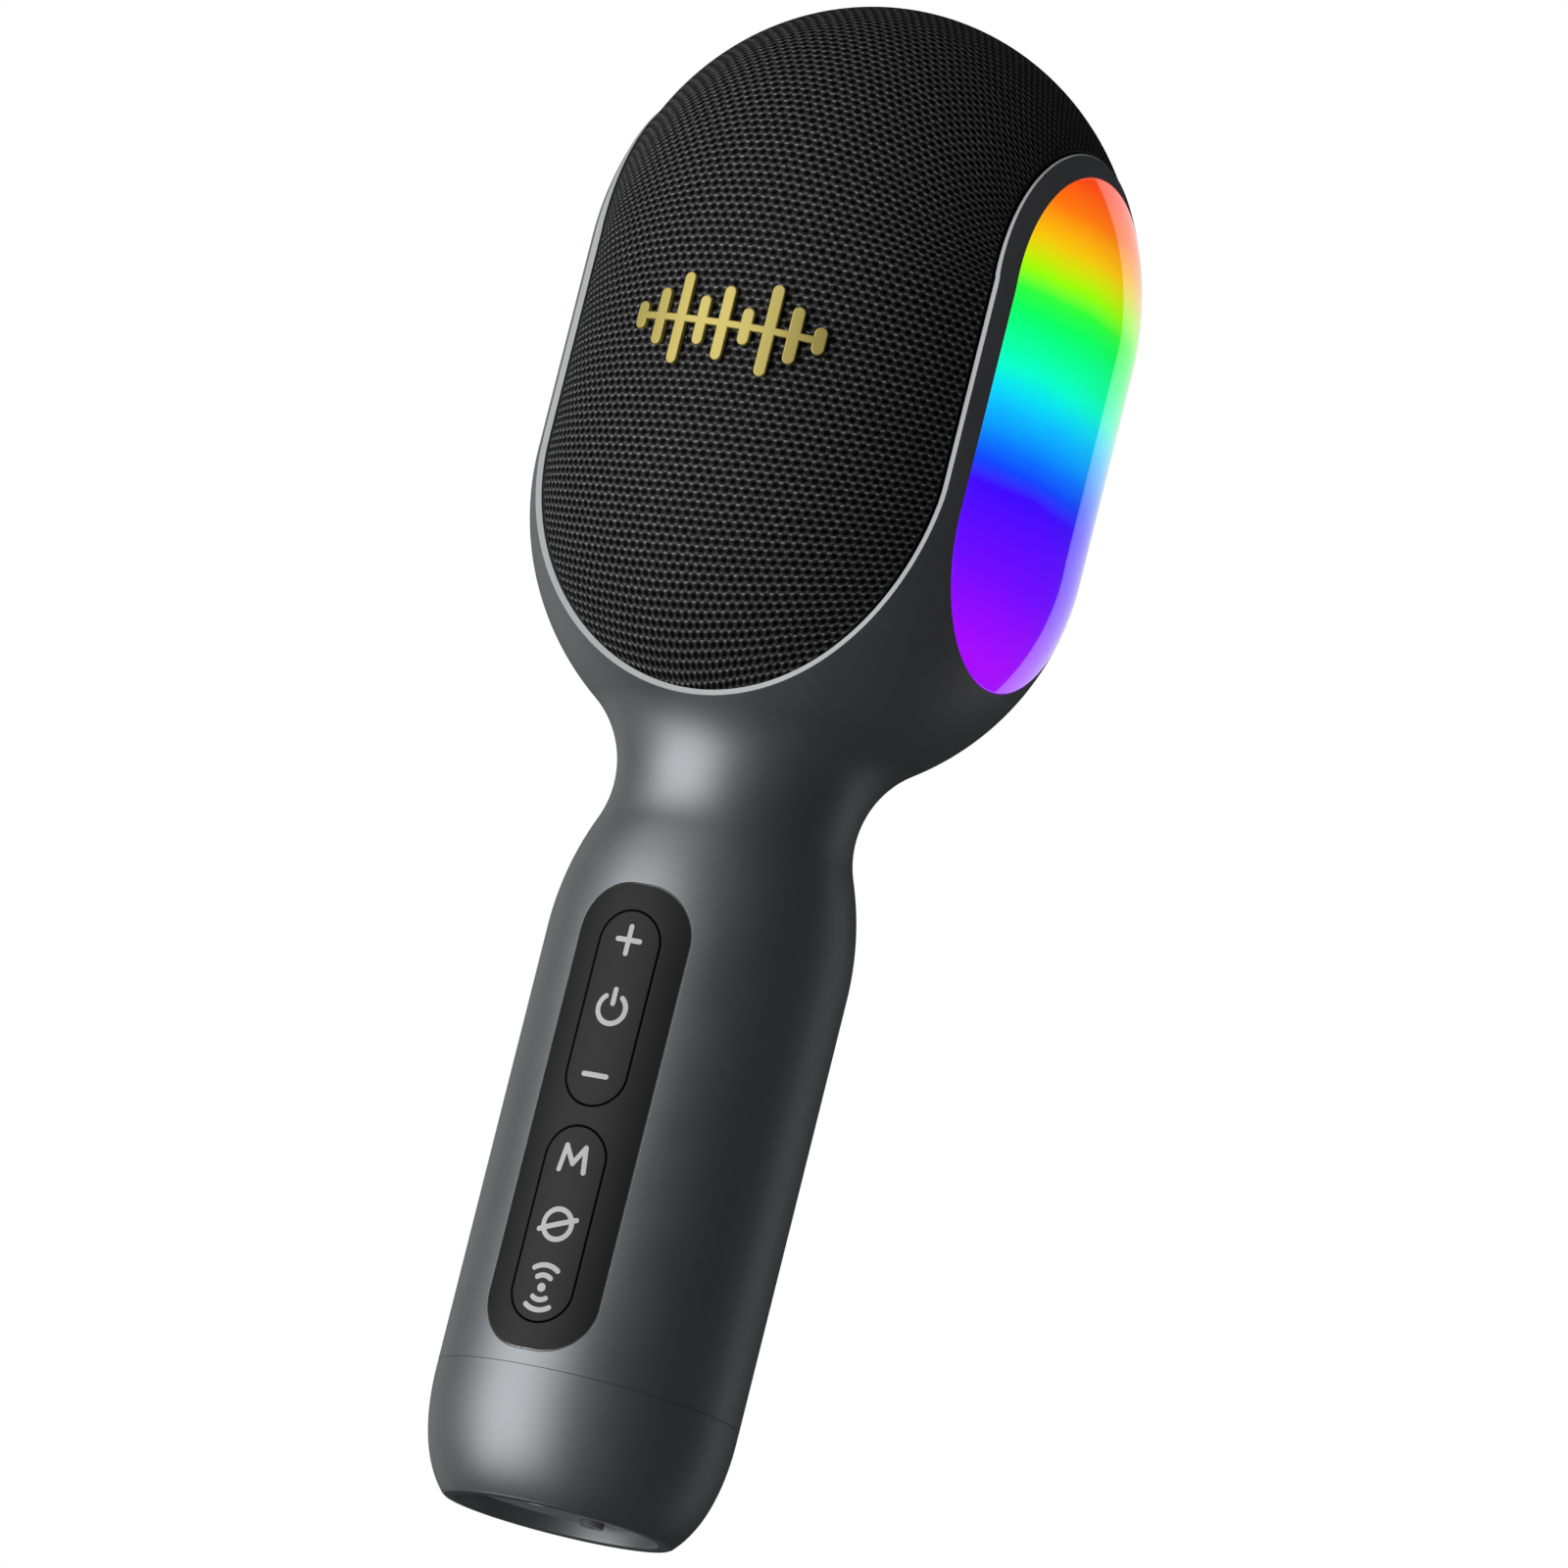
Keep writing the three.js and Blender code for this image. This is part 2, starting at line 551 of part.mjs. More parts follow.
const DIFFUSER_DEPTH = LENS_THICK + GAP + 0.2;
const lightLens = (side) => sideShell(LENS_R - GAP, 0, LENS_THICK, side);
const lightDiffuser = (side) => sideShell(DIFFUSER_R, DIFFUSER_DEPTH, DIFFUSER_DEPTH + 1, side);

function ledBoard(side) {
  const [lowZ, highZ] = LED_BOARD_ENDS;
  const plate = prism(stadium(LED_BOARD_R, lowZ, highZ), 'x', LED_BOARD_X, LED_BOARD_X + LED_BOARD_THICK, 8);
  const middle = (lowZ + highZ) / 2;
  const lamps = [];
  for (let i = 0; i < LED_COUNT; i += 1) {
    const z = middle + (i - (LED_COUNT - 1) / 2) * LED_PITCH;
    lamps.push(box(LED_BOARD_X + 1, LED_BOARD_X + 2.6, -LED_HALF, LED_HALF, z - LED_HALF, z + LED_HALF));
  }
  const board = joined([plate, ...lamps]);
  return side > 0 ? board : board.mirror([1, 0, 0]);
}

// ---------------------------------------------------------------- grille
const fabricInner = (z) => fabricDepth(z) + FABRIC_THICK;
const frameOuter = (z) => fabricInner(z) + GAP;
const frameInner = (z) => frameOuter(z) + FRAME_THICK;
const GRILLE_LOW_Z = 118;
const FABRIC_INSET = GAP + TRIM_WIDTH + GAP;

function grilleFabric() {
  return formShell(GRILLE_LOW_Z, HEIGHT, fabricDepth, fabricInner).intersect(openRegion(FABRIC_INSET));
}

function grilleTrim() {
  const shell = formShell(GRILLE_LOW_Z, HEIGHT - 8, depthOf(0.1), depthOf(WALL + 0.6));
  return shell.intersect(openRegion(GAP)).subtract(openRegion(GAP + TRIM_WIDTH));
}

// Square windows in front and behind, and four slots round the top.
function frameWindows() {
  const { half, pitch, rows, columns, lowZ } = FRAME_WINDOW;
  const windows = [];
  for (let row = 0; row < rows; row += 1) {
    const z = lowZ + row * pitch;
    for (let column = 0; column < columns; column += 1) {
      const x = (column - (columns - 1) / 2) * pitch;
      windows.push(box(x - half, x + half, -FAR, FAR, z - half, z + half));
    }
  }
  const { from, to, half: slotHalf, lowZ: slotLow } = FRAME_SLOT;
  const slot = box(from, to, -slotHalf, slotHalf, slotLow, HEIGHT + 5);
  for (let i = 0; i < 4; i += 1) {
    windows.push(turned(slot, new THREE.Matrix4().makeRotationZ((i + 0.5) * Math.PI / 2)));
  }
  return windows;
}

function grilleFrame() {
  const shell = formShell(GRILLE_LOW_Z, HEIGHT, frameOuter, frameInner).intersect(openRegion(FRAME_INSET));
  return without(shell, frameWindows());
}

// A generic sound-wave badge: rounded bars of different heights on one thin line.
function waveBadge() {
  const { halfX, halfZ, corner } = BADGE_LINE;
  const outlines = [prism(roundedBox(halfX, BADGE_Z - halfZ, BADGE_Z + halfZ, corner), 'y', -FAR, 0, 2)];
  BADGE_BARS.forEach((height, i) => {
    const x = (i - (BADGE_BARS.length - 1) / 2) * BADGE_PITCH;
    const outline = stadiumOf(BADGE_BAR_HALF, BADGE_Z - height, BADGE_Z + height);
    outlines.push(prism(outline, 'y', -FAR, 0, 2).translate([x, 0, 0]));
  });
  const inner = HEAD_R - FABRIC_RECESS + GAP;
  const reach = Math.max(...BADGE_BARS) + 2;
  const shell = ring(inner, inner + BADGE_THICK, BADGE_Z - reach, BADGE_Z + reach);
  return shell.intersect(joined(outlines));
}

// ---------------------------------------------------------------- loudspeaker
const FRONT_TURN = new THREE.Matrix4().makeTranslation(0, 0, SPEAKER_Z)
  .multiply(new THREE.Matrix4().makeRotationX(Math.PI / 2));
const BACK_TURN = new THREE.Matrix4().makeTranslation(0, 0, SPEAKER_Z)
  .multiply(new THREE.Matrix4().makeRotationX(-Math.PI / 2));
const frontward = (solid) => turned(solid, FRONT_TURN);
const backward = (solid) => turned(solid, BACK_TURN);

function screwPlaces(radius, low, high) {
  const rods = [];
  for (let i = 0; i < SCREW_COUNT; i += 1) {
    const angle = (i + 0.5) * 2 * Math.PI / SCREW_COUNT;
    const place = [SCREW_RING_R * Math.cos(angle), SCREW_RING_R * Math.sin(angle), 0];
    rods.push(disc(radius, low, high, SCREW_STEPS).translate(place));
  }
  return rods;
}

function speakerEnclosure() {
  const barrel = ring(BARREL_INNER_R, BARREL_R, -BARREL_HALF, BARREL_HALF, MEDIUM_STEPS);
  const inner = BARREL_HALF - SCREW_DEPTH;
  const frontHoles = screwPlaces(SCREW_HOLE_R, inner, BARREL_HALF + 1);
  const backHoles = screwPlaces(SCREW_HOLE_R, -BARREL_HALF - 1, -inner);
  return frontward(without(barrel, [...frontHoles, ...backHoles]));
}

const SEAT = BARREL_HALF + GAP;
const FLANGE_TOP = SEAT + FLANGE_THICK;
function speakerBasket() {
  const outline = [
    [FLANGE_INNER_R, FLANGE_TOP], [FLANGE_R, FLANGE_TOP], [FLANGE_R, SEAT], [24.4, SEAT],
    [15.2, 8.8], [8.2, 8.8], [8.2, 10.3], [14, 10.3],
    [FLANGE_INNER_R, SEAT - 1.7], [FLANGE_INNER_R, FLANGE_TOP],
  ];
  const windows = [];
  for (let i = 0; i < 4; i += 1) {
    const slot = box(15.5, 30, -5, 5, 12, 19);
    windows.push(turned(slot, new THREE.Matrix4().makeRotationZ(i * Math.PI / 2)));
  }
  const holes = screwPlaces(SCREW_HOLE_R, 0, FAR);
  return frontward(without(lathe(outline, MEDIUM_STEPS), [...holes, ...windows]));
}

const speakerMagnet = () => frontward(ring(7.9, 14.5, 2.5, 8.5, MEDIUM_STEPS));
const speakerYoke = () => frontward(lathe(
  [[0, 0], [14.5, 0], [14.5, 2.2], [6.2, 2.2], [6.2, 10], [0, 10]], MEDIUM_STEPS));
const voiceCoil = () => frontward(ring(6.5, 7.3, 3.8, 13, MEDIUM_STEPS));
const speakerCone = () => frontward(lathe(
  [[7.6, 11.8], [19.5, 21.9], [19.5, 22.9], [7.6, 12.9], [7.6, 11.8]], MEDIUM_STEPS));

function domedCap(radius, low, rise, thick, steps = MEDIUM_STEPS) {
  const outline = [];
  for (let i = 0; i <= 4; i += 1) {
    const angle = i * Math.PI / 8;
    outline.push([radius * Math.cos(angle), low + rise * Math.sin(angle)]);
  }
  outline[4][0] = 0;
  const inside = [[0, low + rise - thick], [radius - thick, low]];
  return lathe([...outline, ...inside, outline[0]], steps);
}
const dustCap = () => frontward(domedCap(7, 13.4, 2.6, 0.8));

function rollRing(inner, outer, base, rise, steps = MEDIUM_STEPS) {
  const outline = [];
  const middle = (inner + outer) / 2;
  for (let i = 0; i <= 4; i += 1) {
    const angle = i * Math.PI / 4;
    outline.push([middle + (outer - middle) * Math.cos(angle), base + rise * Math.sin(angle)]);
  }
  for (let i = 4; i >= 0; i -= 2) {
    const angle = i * Math.PI / 4;
    const within = outer - middle - 0.6;
    outline.push([middle + within * Math.cos(angle), base + (rise - 0.6) * Math.sin(angle)]);
  }
  outline.push(outline[0]);
  return lathe(outline, steps);
}
const speakerSurround = () => frontward(rollRing(19.8, 22.5, 22.9, 1.9));

function radiatorFrame() {
  const flange = ring(FLANGE_INNER_R, FLANGE_R, SEAT, FLANGE_TOP, MEDIUM_STEPS);
  return backward(without(flange, screwPlaces(SCREW_HOLE_R, 0, FAR)));
}
const radiatorPlate = () => backward(lathe(
  [[0, 20.4], [9, 20.4], [9, 22.4], [16.4, 22.4], [16.4, 23.8], [0, 23.8]], MEDIUM_STEPS));
const radiatorSurround = () => backward(rollRing(16.7, 22.5, 22.4, 2.4));

function flangeScrew(i) {
  const angle = (i + 0.5) * 2 * Math.PI / SCREW_COUNT;
  const place = [SCREW_RING_R * Math.cos(angle), SCREW_RING_R * Math.sin(angle), 0];
  const under = FLANGE_TOP + GAP;
  const shank = disc(SCREW_SHANK_R, under - SCREW_DEPTH, under + 0.5, SCREW_STEPS);
  return disc(1.7, under, under + 1.1, SCREW_STEPS).add(shank).translate(place);
}

// ---------------------------------------------------------------- microphone capsule
const CRADLE_Z = 219;
const SADDLE = { half: 11, lowZ: 190, highZ: 199.6 };
const CUP = { radius: 9.6, innerR: 8.2, height: 7, floor: 1 };
const barrelRoom = () => rod('y', BARREL_R + 0.5, -FAR, FAR, [0, SPEAKER_Z], MEDIUM_STEPS);

function capsuleBracket() {
  const block = box(-SADDLE.half, SADDLE.half, -SADDLE.half, SADDLE.half, SADDLE.lowZ, SADDLE.highZ);
  const stem = disc(3.2, SADDLE.highZ - 1.6, CRADLE_Z, SMALL_STEPS);
  const cup = lathe([
    [0, CRADLE_Z - CUP.floor], [CUP.radius, CRADLE_Z - CUP.floor], [CUP.radius, CRADLE_Z + CUP.height],
    [CUP.innerR, CRADLE_Z + CUP.height], [CUP.innerR, CRADLE_Z + CUP.floor], [0, CRADLE_Z + CUP.floor],
  ], MEDIUM_STEPS);
  return joined([block.subtract(barrelRoom()), stem, cup]);
}
const capsuleCradle = () => ring(
  5.2, CUP.innerR - GAP, CRADLE_Z + CUP.floor + GAP, CRADLE_Z + 9.5, MEDIUM_STEPS);
const microphoneCapsule = () => lathe([
  [0, CRADLE_Z + 2], [4.9, CRADLE_Z + 2], [4.9, CRADLE_Z + 11], [3.6, CRADLE_Z + 11],
  [3.6, CRADLE_Z + 10.3], [0, CRADLE_Z + 10.3],
], MEDIUM_STEPS);

function windscreenFoam() {
  const outer = (z) => frameInner(z) + 1;
  const inner = (z) => frameInner(z) + 5;
  return formShell(HEIGHT - 18.4, HEIGHT, outer, inner);
}

// ---------------------------------------------------------------- head chassis and wiring
function headChassis() {
  const outline = [[7, 131.5], [22, 131.5], [24.5, 134], [24.5, 146], [7, 146], [7, 131.5]];
  return lathe(outline, MEDIUM_STEPS).subtract(barrelRoom());
}

function speakerLead() {
  const route = new THREE.CatmullRomCurve3([
    new THREE.Vector3(3.5, -3.6, 88), new THREE.Vector3(3, -2.6, 100), new THREE.Vector3(0, 0, 112),
    new THREE.Vector3(0, 0, 124), new THREE.Vector3(0, 0, 136),
  ]);
  const section = new THREE.Shape();
  section.absarc(0, 0, 1.1, 0, 2 * Math.PI, false);
  const geometry = new THREE.ExtrudeGeometry(section, { steps: 8, extrudePath: route, curveSegments: 4 });
  return solidOf(geometry);
}

// ---------------------------------------------------------------- assembly
const microphone = new THREE.Group();
const place = (name, solid, material) => microphone.add(meshOf(name, solid, material));

place('main_housing', mainHousing(), PAINT);
place('bottom_cap', lathe(capOutline()), PAINT);
place('port_plate', portPlate(), BLACK_PLASTIC);
place('usb_c_socket', usbSocket(), STEEL);
place('audio_jack', audioJack(), BLACK_PLASTIC);
place('port_board', portBoard(), SOLDER_MASK);
place('port_screw_front', portScrew(-PORT_SCREW_Y), STEEL);
place('port_screw_back', portScrew(PORT_SCREW_Y), STEEL);

place('key_panel', keyPanel(), BLACK_PLASTIC);
for (const key of KEYS) {
  place(`${key.name}_key`, keyCap(key), BLACK_PLASTIC);
  place(`${key.name}_key_carrier`, keyCarrier(key), STEEL);
  key.icons.forEach((z, i) => place(`${key.name}_switch_${i + 1}`, tactSwitch(z), BLACK_PLASTIC));
}

place('main_board', mainBoard(), SOLDER_MASK);
place('wireless_module', wirelessModule(), STEEL);
place('battery_cell', batteryCell(), CELL);
place('battery_cradle', batteryCradle(), BLACK_PLASTIC);
place('battery_contact_lower', batteryContact(CELL_LOW_Z - CONTACT.thick - 0.5), STEEL);
place('battery_contact_upper', batteryContact(CELL_TOP_Z + 0.4), STEEL);

for (const [word, side] of [['left', -1], ['right', 1]]) {
  place(`light_lens_${word}`, lightLens(side), LENS);
  place(`light_diffuser_${word}`, lightDiffuser(side), DIFFUSER);
  place(`led_board_${word}`, ledBoard(side), SOLDER_MASK);
}

place('grille_fabric', grilleFabric(), FABRIC);
place('grille_trim', grilleTrim(), SATIN_SILVER);
place('grille_frame', grilleFrame(), BLACK_PLASTIC);
place('wave_badge', waveBadge(), GOLD);

place('speaker_enclosure', speakerEnclosure(), BLACK_PLASTIC);
place('speaker_basket', speakerBasket(), STEEL);
place('speaker_magnet', speakerMagnet(), STEEL);
place('speaker_yoke', speakerYoke(), STEEL);
place('voice_coil', voiceCoil(), COPPER);
place('speaker_cone', speakerCone(), PAPER);
place('dust_cap', dustCap(), PAPER);
place('speaker_surround', speakerSurround(), RUBBER);
place('radiator_frame', radiatorFrame(), STEEL);
place('radiator_plate', radiatorPlate(), PAPER);
place('radiator_surround', radiatorSurround(), RUBBER);
for (let i = 0; i < SCREW_COUNT; i += 1) {
  place(`speaker_screw_${i + 1}`, frontward(flangeScrew(i)), STEEL);
  place(`radiator_screw_${i + 1}`, backward(flangeScrew(i)), STEEL);
}

place('capsule_bracket', capsuleBracket(), BLACK_PLASTIC);
place('capsule_cradle', capsuleCradle(), RUBBER);
place('microphone_capsule', microphoneCapsule(), STEEL);
place('windscreen_foam', windscreenFoam(), FOAM);
place('head_chassis', headChassis(), BLACK_PLASTIC);
place('speaker_lead', speakerLead(), RUBBER);

export default microphone;
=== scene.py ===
"""Looks of the karaoke microphone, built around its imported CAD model.

Sizes are in millimetres until a mesh is made. The microphone stands along +Z and its front
faces -Y. An angle of 0 is the front, and angles grow towards +X.
"""
import json
import math

import bmesh
import bpy
import numpy as np
from mathutils import Matrix, Vector


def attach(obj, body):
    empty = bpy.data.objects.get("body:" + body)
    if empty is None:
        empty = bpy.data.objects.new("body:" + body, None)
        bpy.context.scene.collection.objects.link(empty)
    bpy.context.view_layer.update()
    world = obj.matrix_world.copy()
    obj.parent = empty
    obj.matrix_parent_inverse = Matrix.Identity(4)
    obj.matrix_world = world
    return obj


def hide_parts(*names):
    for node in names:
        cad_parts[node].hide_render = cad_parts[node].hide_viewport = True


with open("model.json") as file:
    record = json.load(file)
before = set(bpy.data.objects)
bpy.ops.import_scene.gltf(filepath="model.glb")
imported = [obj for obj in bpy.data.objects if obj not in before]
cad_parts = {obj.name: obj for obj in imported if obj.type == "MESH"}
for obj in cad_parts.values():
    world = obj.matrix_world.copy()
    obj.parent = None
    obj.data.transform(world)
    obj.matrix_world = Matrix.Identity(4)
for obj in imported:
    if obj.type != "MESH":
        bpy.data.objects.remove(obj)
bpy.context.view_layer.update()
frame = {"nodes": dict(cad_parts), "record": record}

MM = 0.001

# ------------------------------------------------------------------ sizes shared with the CAD
HEIGHT = 244.4
HANDLE_R = 24
HEAD_R = 43.6
NECK_R = 19.4
NECK_Z = 114.4
SHOULDER_Z = 90.2
BOWL_Z = 162.6
DOME_Z = 197.4
SEAM_Z = 20
WALL = 2.2
OPENING_HALF = 35.5
OPENING_CURVE_Z = 166
OPENING_CURVE_H = 38.7
ARCH_Z = 200.2
ARCH_R = 25.4
FABRIC_RECESS = 1.2
LENS_R = 22.6
LENS_LOW_Z = 162.6
PANEL_HALF = 9.8
PANEL_LOW_Z = 22.3
PANEL_HIGH_Z = 97.1
PANEL_CORNER = 8.4
KEY_HALF = 5.35
UPPER_KEY = (61.3, 92.7)
LOWER_KEY = (26.7, 58.1)
RIM_R = 18.2
RIM_INNER_R = 15.9
PORT_RECESS = 2.5
USB_X = -2.1
JACK_X = 7.8
PORT_SCREW_Y = 11.5
BADGE_Z = 182.3

# The light windows end a little lower here than in the CAD, where this is 200.6.
LENS_HIGH_Z = 199.9

# Round stretches that touch each other: handle to neck, and neck to bowl.
NECK_FILLET = (NECK_R**2 + (BOWL_Z - NECK_Z) ** 2 - HEAD_R**2) / (2 * (HEAD_R - NECK_R))
NECK_CENTRE_R = NECK_R + NECK_FILLET
SHOULDER_FILLET = (
    (NECK_CENTRE_R - HANDLE_R) ** 2 + (NECK_Z - SHOULDER_Z) ** 2 - NECK_FILLET**2
) / (2 * (NECK_FILLET - NECK_CENTRE_R + HANDLE_R))
NECK_START_Z = SHOULDER_Z + (NECK_Z - SHOULDER_Z) * SHOULDER_FILLET / (SHOULDER_FILLET + NECK_FILLET)
BOWL_START_Z = BOWL_Z - (BOWL_Z - NECK_Z) * HEAD_R / (HEAD_R + NECK_FILLET)
DOME_HEIGHT = HEIGHT - DOME_Z


# ------------------------------------------------------------------ the outer form
SLOPE_STEP = 0.01
FABRIC_FADE = 1.5


def root(value):
    """The square root, or 0 below 0."""
    return np.sqrt(np.maximum(value, 0))


def outer_radius(z):
    """Radius of the outer form at heights z."""
    z = np.asarray(z, float)
    shoulder = HANDLE_R - SHOULDER_FILLET + root(SHOULDER_FILLET**2 - (z - SHOULDER_Z) ** 2)
    neck = NECK_CENTRE_R - root(NECK_FILLET**2 - (z - NECK_Z) ** 2)
    bowl = root(HEAD_R**2 - (BOWL_Z - z) ** 2)
    dome = HEAD_R * root(1 - ((z - DOME_Z) / DOME_HEIGHT) ** 2)
    places = [z <= SHOULDER_Z, z <= NECK_START_Z, z <= BOWL_START_Z, z <= BOWL_Z, z <= DOME_Z]
    return np.select(places, [HANDLE_R, shoulder, neck, bowl, HEAD_R], dome)


def outer_normal(z):
    """Outward normal of the outer form at heights z, as (radial, upward) parts."""
    z = np.asarray(z, float)
    slope = (outer_radius(z + SLOPE_STEP) - outer_radius(z - SLOPE_STEP)) / (2 * SLOPE_STEP)
    dome_out = outer_radius(z) / HEAD_R**2
    dome_up = (z - DOME_Z) / DOME_HEIGHT**2
    out = np.where(z > DOME_Z, dome_out, 1.0)
    up = np.where(z > DOME_Z, dome_up, -slope)
    length = np.hypot(out, up)
    return out / length, up / length


def fabric_depth(z):
    """How far the cloth lies under the outer form: the recess fades out towards the top."""
    share = np.clip((HEIGHT - np.asarray(z, float)) / DOME_HEIGHT, 0, 1)
    return FABRIC_RECESS * share**FABRIC_FADE


def depth_at(depth, z):
    """A depth at heights z, from a number or a function of z."""
    return depth(z) if callable(depth) else depth


def form_surface(depth):
    """A surface under the outer form, as a function of angle and height."""

    def at(angle, z):
        out, up = outer_normal(z)
        under = depth_at(depth, z)
        radius = outer_radius(z) - under * out
        points = np.stack([radius * np.sin(angle), -radius * np.cos(angle), z - under * up], -1)
        normals = np.stack([out * np.sin(angle), -out * np.cos(angle), up], -1)
        return points, normals

    return at


def dome_places(depth, across, over):
    """Points and normals under the dome; over is 0 at the front's foot and pi at the back's."""
    side = np.sin(across)
    front = -np.cos(across) * np.cos(over)
    rise = np.cos(across) * np.sin(over)
    points = np.stack([HEAD_R * side, HEAD_R * front, DOME_Z + DOME_HEIGHT * rise], -1)
    normals = np.stack([side / HEAD_R, front / HEAD_R, rise / DOME_HEIGHT], -1)
    normals /= np.linalg.norm(normals, axis=-1, keepdims=True)
    under = np.asarray(depth_at(depth, points[..., 2]))
    return points - under[..., None] * normals, normals


def cloth_surface(depth):
    """The head's surface as the cloth is stretched over it.

    Its places are an angle across, and millimetres along from the front's foot up to DOME_Z,
    over the top and down the back."""
    quarter = DOME_HEIGHT * math.pi / 2
    top = DOME_Z + quarter

    def at(across, along):
        back = along > top
        z = np.minimum(np.where(back, 2 * top - along, along), DOME_Z)
        points, normals = form_surface(depth)(across, z)
        mirror = np.where(back, -1, 1)
        points[..., 1] *= mirror
        normals[..., 1] *= mirror
        over = np.clip(along - DOME_Z, 0, 2 * quarter) / quarter * math.pi / 2
        dome_points, dome_normals = dome_places(depth, across, over)
        straight = ((along <= DOME_Z) | (along >= DOME_Z + 2 * quarter))[..., None]
        return np.where(straight, points, dome_points), np.where(straight, normals, dome_normals)

    return at


def flat_surface(z):
    """A level surface that faces down, as a function of y and x."""

    def at(y, x):
        points = np.stack([x, y, np.full_like(x, z)], -1)
        normals = np.zeros_like(points)
        normals[..., 2] = -1
        return points, normals

    return at


# ------------------------------------------------------------------ regions
# A region is a function of points that is positive inside and negative outside.
def rounded_box_distance(a, b, half_a, half_b, corner):
    """Positive inside a box round the origin with rounded corners."""
    qa = np.abs(a) - (half_a - corner)
    qb = np.abs(b) - (half_b - corner)
    outside = np.hypot(np.maximum(qa, 0), np.maximum(qb, 0))
    return corner - outside - np.minimum(np.maximum(qa, qb), 0)


def stadium_distance(a, b, low, high, radius):
    """Positive inside a round-ended bar from low to high along b."""
    return radius - np.hypot(a, b - np.clip(b, low, high))


def opening_region(p):
    """The grille opening: in front and behind, and over the side arms.

    It is read beside each point on the outer form, so that it is the same at every depth."""
    z = p[..., 2]
    stretch = outer_radius(z) / np.maximum(np.hypot(p[..., 0], p[..., 1]), 1e-6)
    x, y = p[..., 0] * stretch, np.abs(p[..., 1]) * stretch
    edge_y = math.sqrt(HEAD_R**2 - OPENING_HALF**2)
    arm = np.where(z > ARCH_Z, np.hypot(y, z - ARCH_Z) - ARCH_R, y - edge_y)
    level = np.maximum(OPENING_CURVE_Z - z, 0) / OPENING_CURVE_H
    bowl = (1 - np.hypot(x / OPENING_HALF, level)) * OPENING_HALF
    return np.where(z > OPENING_CURVE_Z, arm, bowl)


def lens_region(side):
    def at(p):
        inside = stadium_distance(p[..., 1], p[..., 2], LENS_LOW_Z, LENS_HIGH_Z, LENS_R)
        return np.where(side * p[..., 0] > 0, inside, -1.0)

    return at


def panel_region(p):
    middle = (PANEL_LOW_Z + PANEL_HIGH_Z) / 2
    half = (PANEL_HIGH_Z - PANEL_LOW_Z) / 2
    inside = rounded_box_distance(p[..., 0], p[..., 2] - middle, PANEL_HALF, half, PANEL_CORNER)
    return np.where(p[..., 1] < 0, inside, -1.0)


def key_region(key):
    low, high = key

    def at(p):
        inside = stadium_distance(p[..., 0], p[..., 2], low + KEY_HALF, high - KEY_HALF, KEY_HALF)
        return np.where(p[..., 1] < 0, inside, -1.0)

    return at


def outside_of(*regions):
    return lambda p: -np.max([region(p) for region in regions], axis=0)


def both(*regions):
    return lambda p: np.min([region(p) for region in regions], axis=0)


def disc_region(x, y, radius):
    return lambda p: radius - np.hypot(p[..., 0] - x, p[..., 1] - y)


# ------------------------------------------------------------------ sheets cut along a region's edge
REGION_STEP = 0.02
HALVINGS = 22
SMOOTH_TURN = math.cos(math.radians(40))
SHARP_ANGLE = math.radians(32)


def margin(surface, region, u, v):
    """Distance to the region's edge along the surface, with points, normals and the way out."""
    points, normals = surface(u, v)
    value = region(points)
    slope = np.zeros_like(points)
    for axis in range(3):
        shift = np.zeros(3)
        shift[axis] = REGION_STEP
        slope[..., axis] = (region(points + shift) - region(points - shift)) / (2 * REGION_STEP)
    slope -= np.sum(slope * normals, -1, keepdims=True) * normals
    steepness = np.linalg.norm(slope, axis=-1)
    way_out = -slope / np.maximum(steepness, 1e-6)[..., None]
    return value / np.maximum(steepness, 0.3), points, normals, way_out


def edge_places(surface, region, inset, start, end):
    """Where grid edges from an inside start to an outside end cross the region's edge."""
    low, high = np.zeros(len(start)), np.ones(len(start))
    for _ in range(HALVINGS):
        middle = (low + high) / 2
        place = start + (end - start) * middle[:, None]
        inside = margin(surface, region, place[:, 0], place[:, 1])[0] > inset
        low, high = np.where(inside, middle, low), np.where(inside, high, middle)
    return start + (end - start) * np.clip(low, 0.01, 0.99)[:, None]


def edge_crossings(inside, grid, first):
    """The grid edges that cross the region's edge: their numbers, and their inner and outer ends."""
    numbers, starts, ends = {}, [], []
    neighbours = ((np.s_[:-1, :], np.s_[1:, :]), (np.s_[:, :-1], np.s_[:, 1:]))
    for kind, (a, b) in enumerate(neighbours):
        step = (1, 0) if kind == 0 else (0, 1)
        for i, j in np.argwhere(inside[a] != inside[b]):
            near, far = (i, j), (i + step[0], j + step[1])
            if not inside[near]:
                near, far = far, near
            numbers[kind, i, j] = first + len(starts)
            starts.append(grid[near])
            ends.append(grid[far])
    return numbers, np.array(starts), np.array(ends)


def clipped_cell(i, j, inside, number, crossings):
    """One cell on the region's edge: the polygon inside it, and its pieces of the edge."""
    ring = [(i, j), (i + 1, j), (i + 1, j + 1), (i, j + 1)]
    edges = [(0, i, j), (1, i + 1, j), (0, i, j + 1), (1, i, j)]
    polygon, leaving = [], []
    for k in range(4):
        here, after = ring[k], ring[(k + 1) % 4]
        if inside[here]:
            polygon.append(int(number[here]))
        if inside[here] != inside[after]:
            polygon.append(crossings[edges[k]])
            leaving.append((bool(inside[here]), crossings[edges[k]]))
    if not leaving[0][0]:
        leaving = leaving[1:] + leaving[:1]
    return polygon, [(leaving[k][1], leaving[k + 1][1]) for k in range(0, len(leaving), 2)]


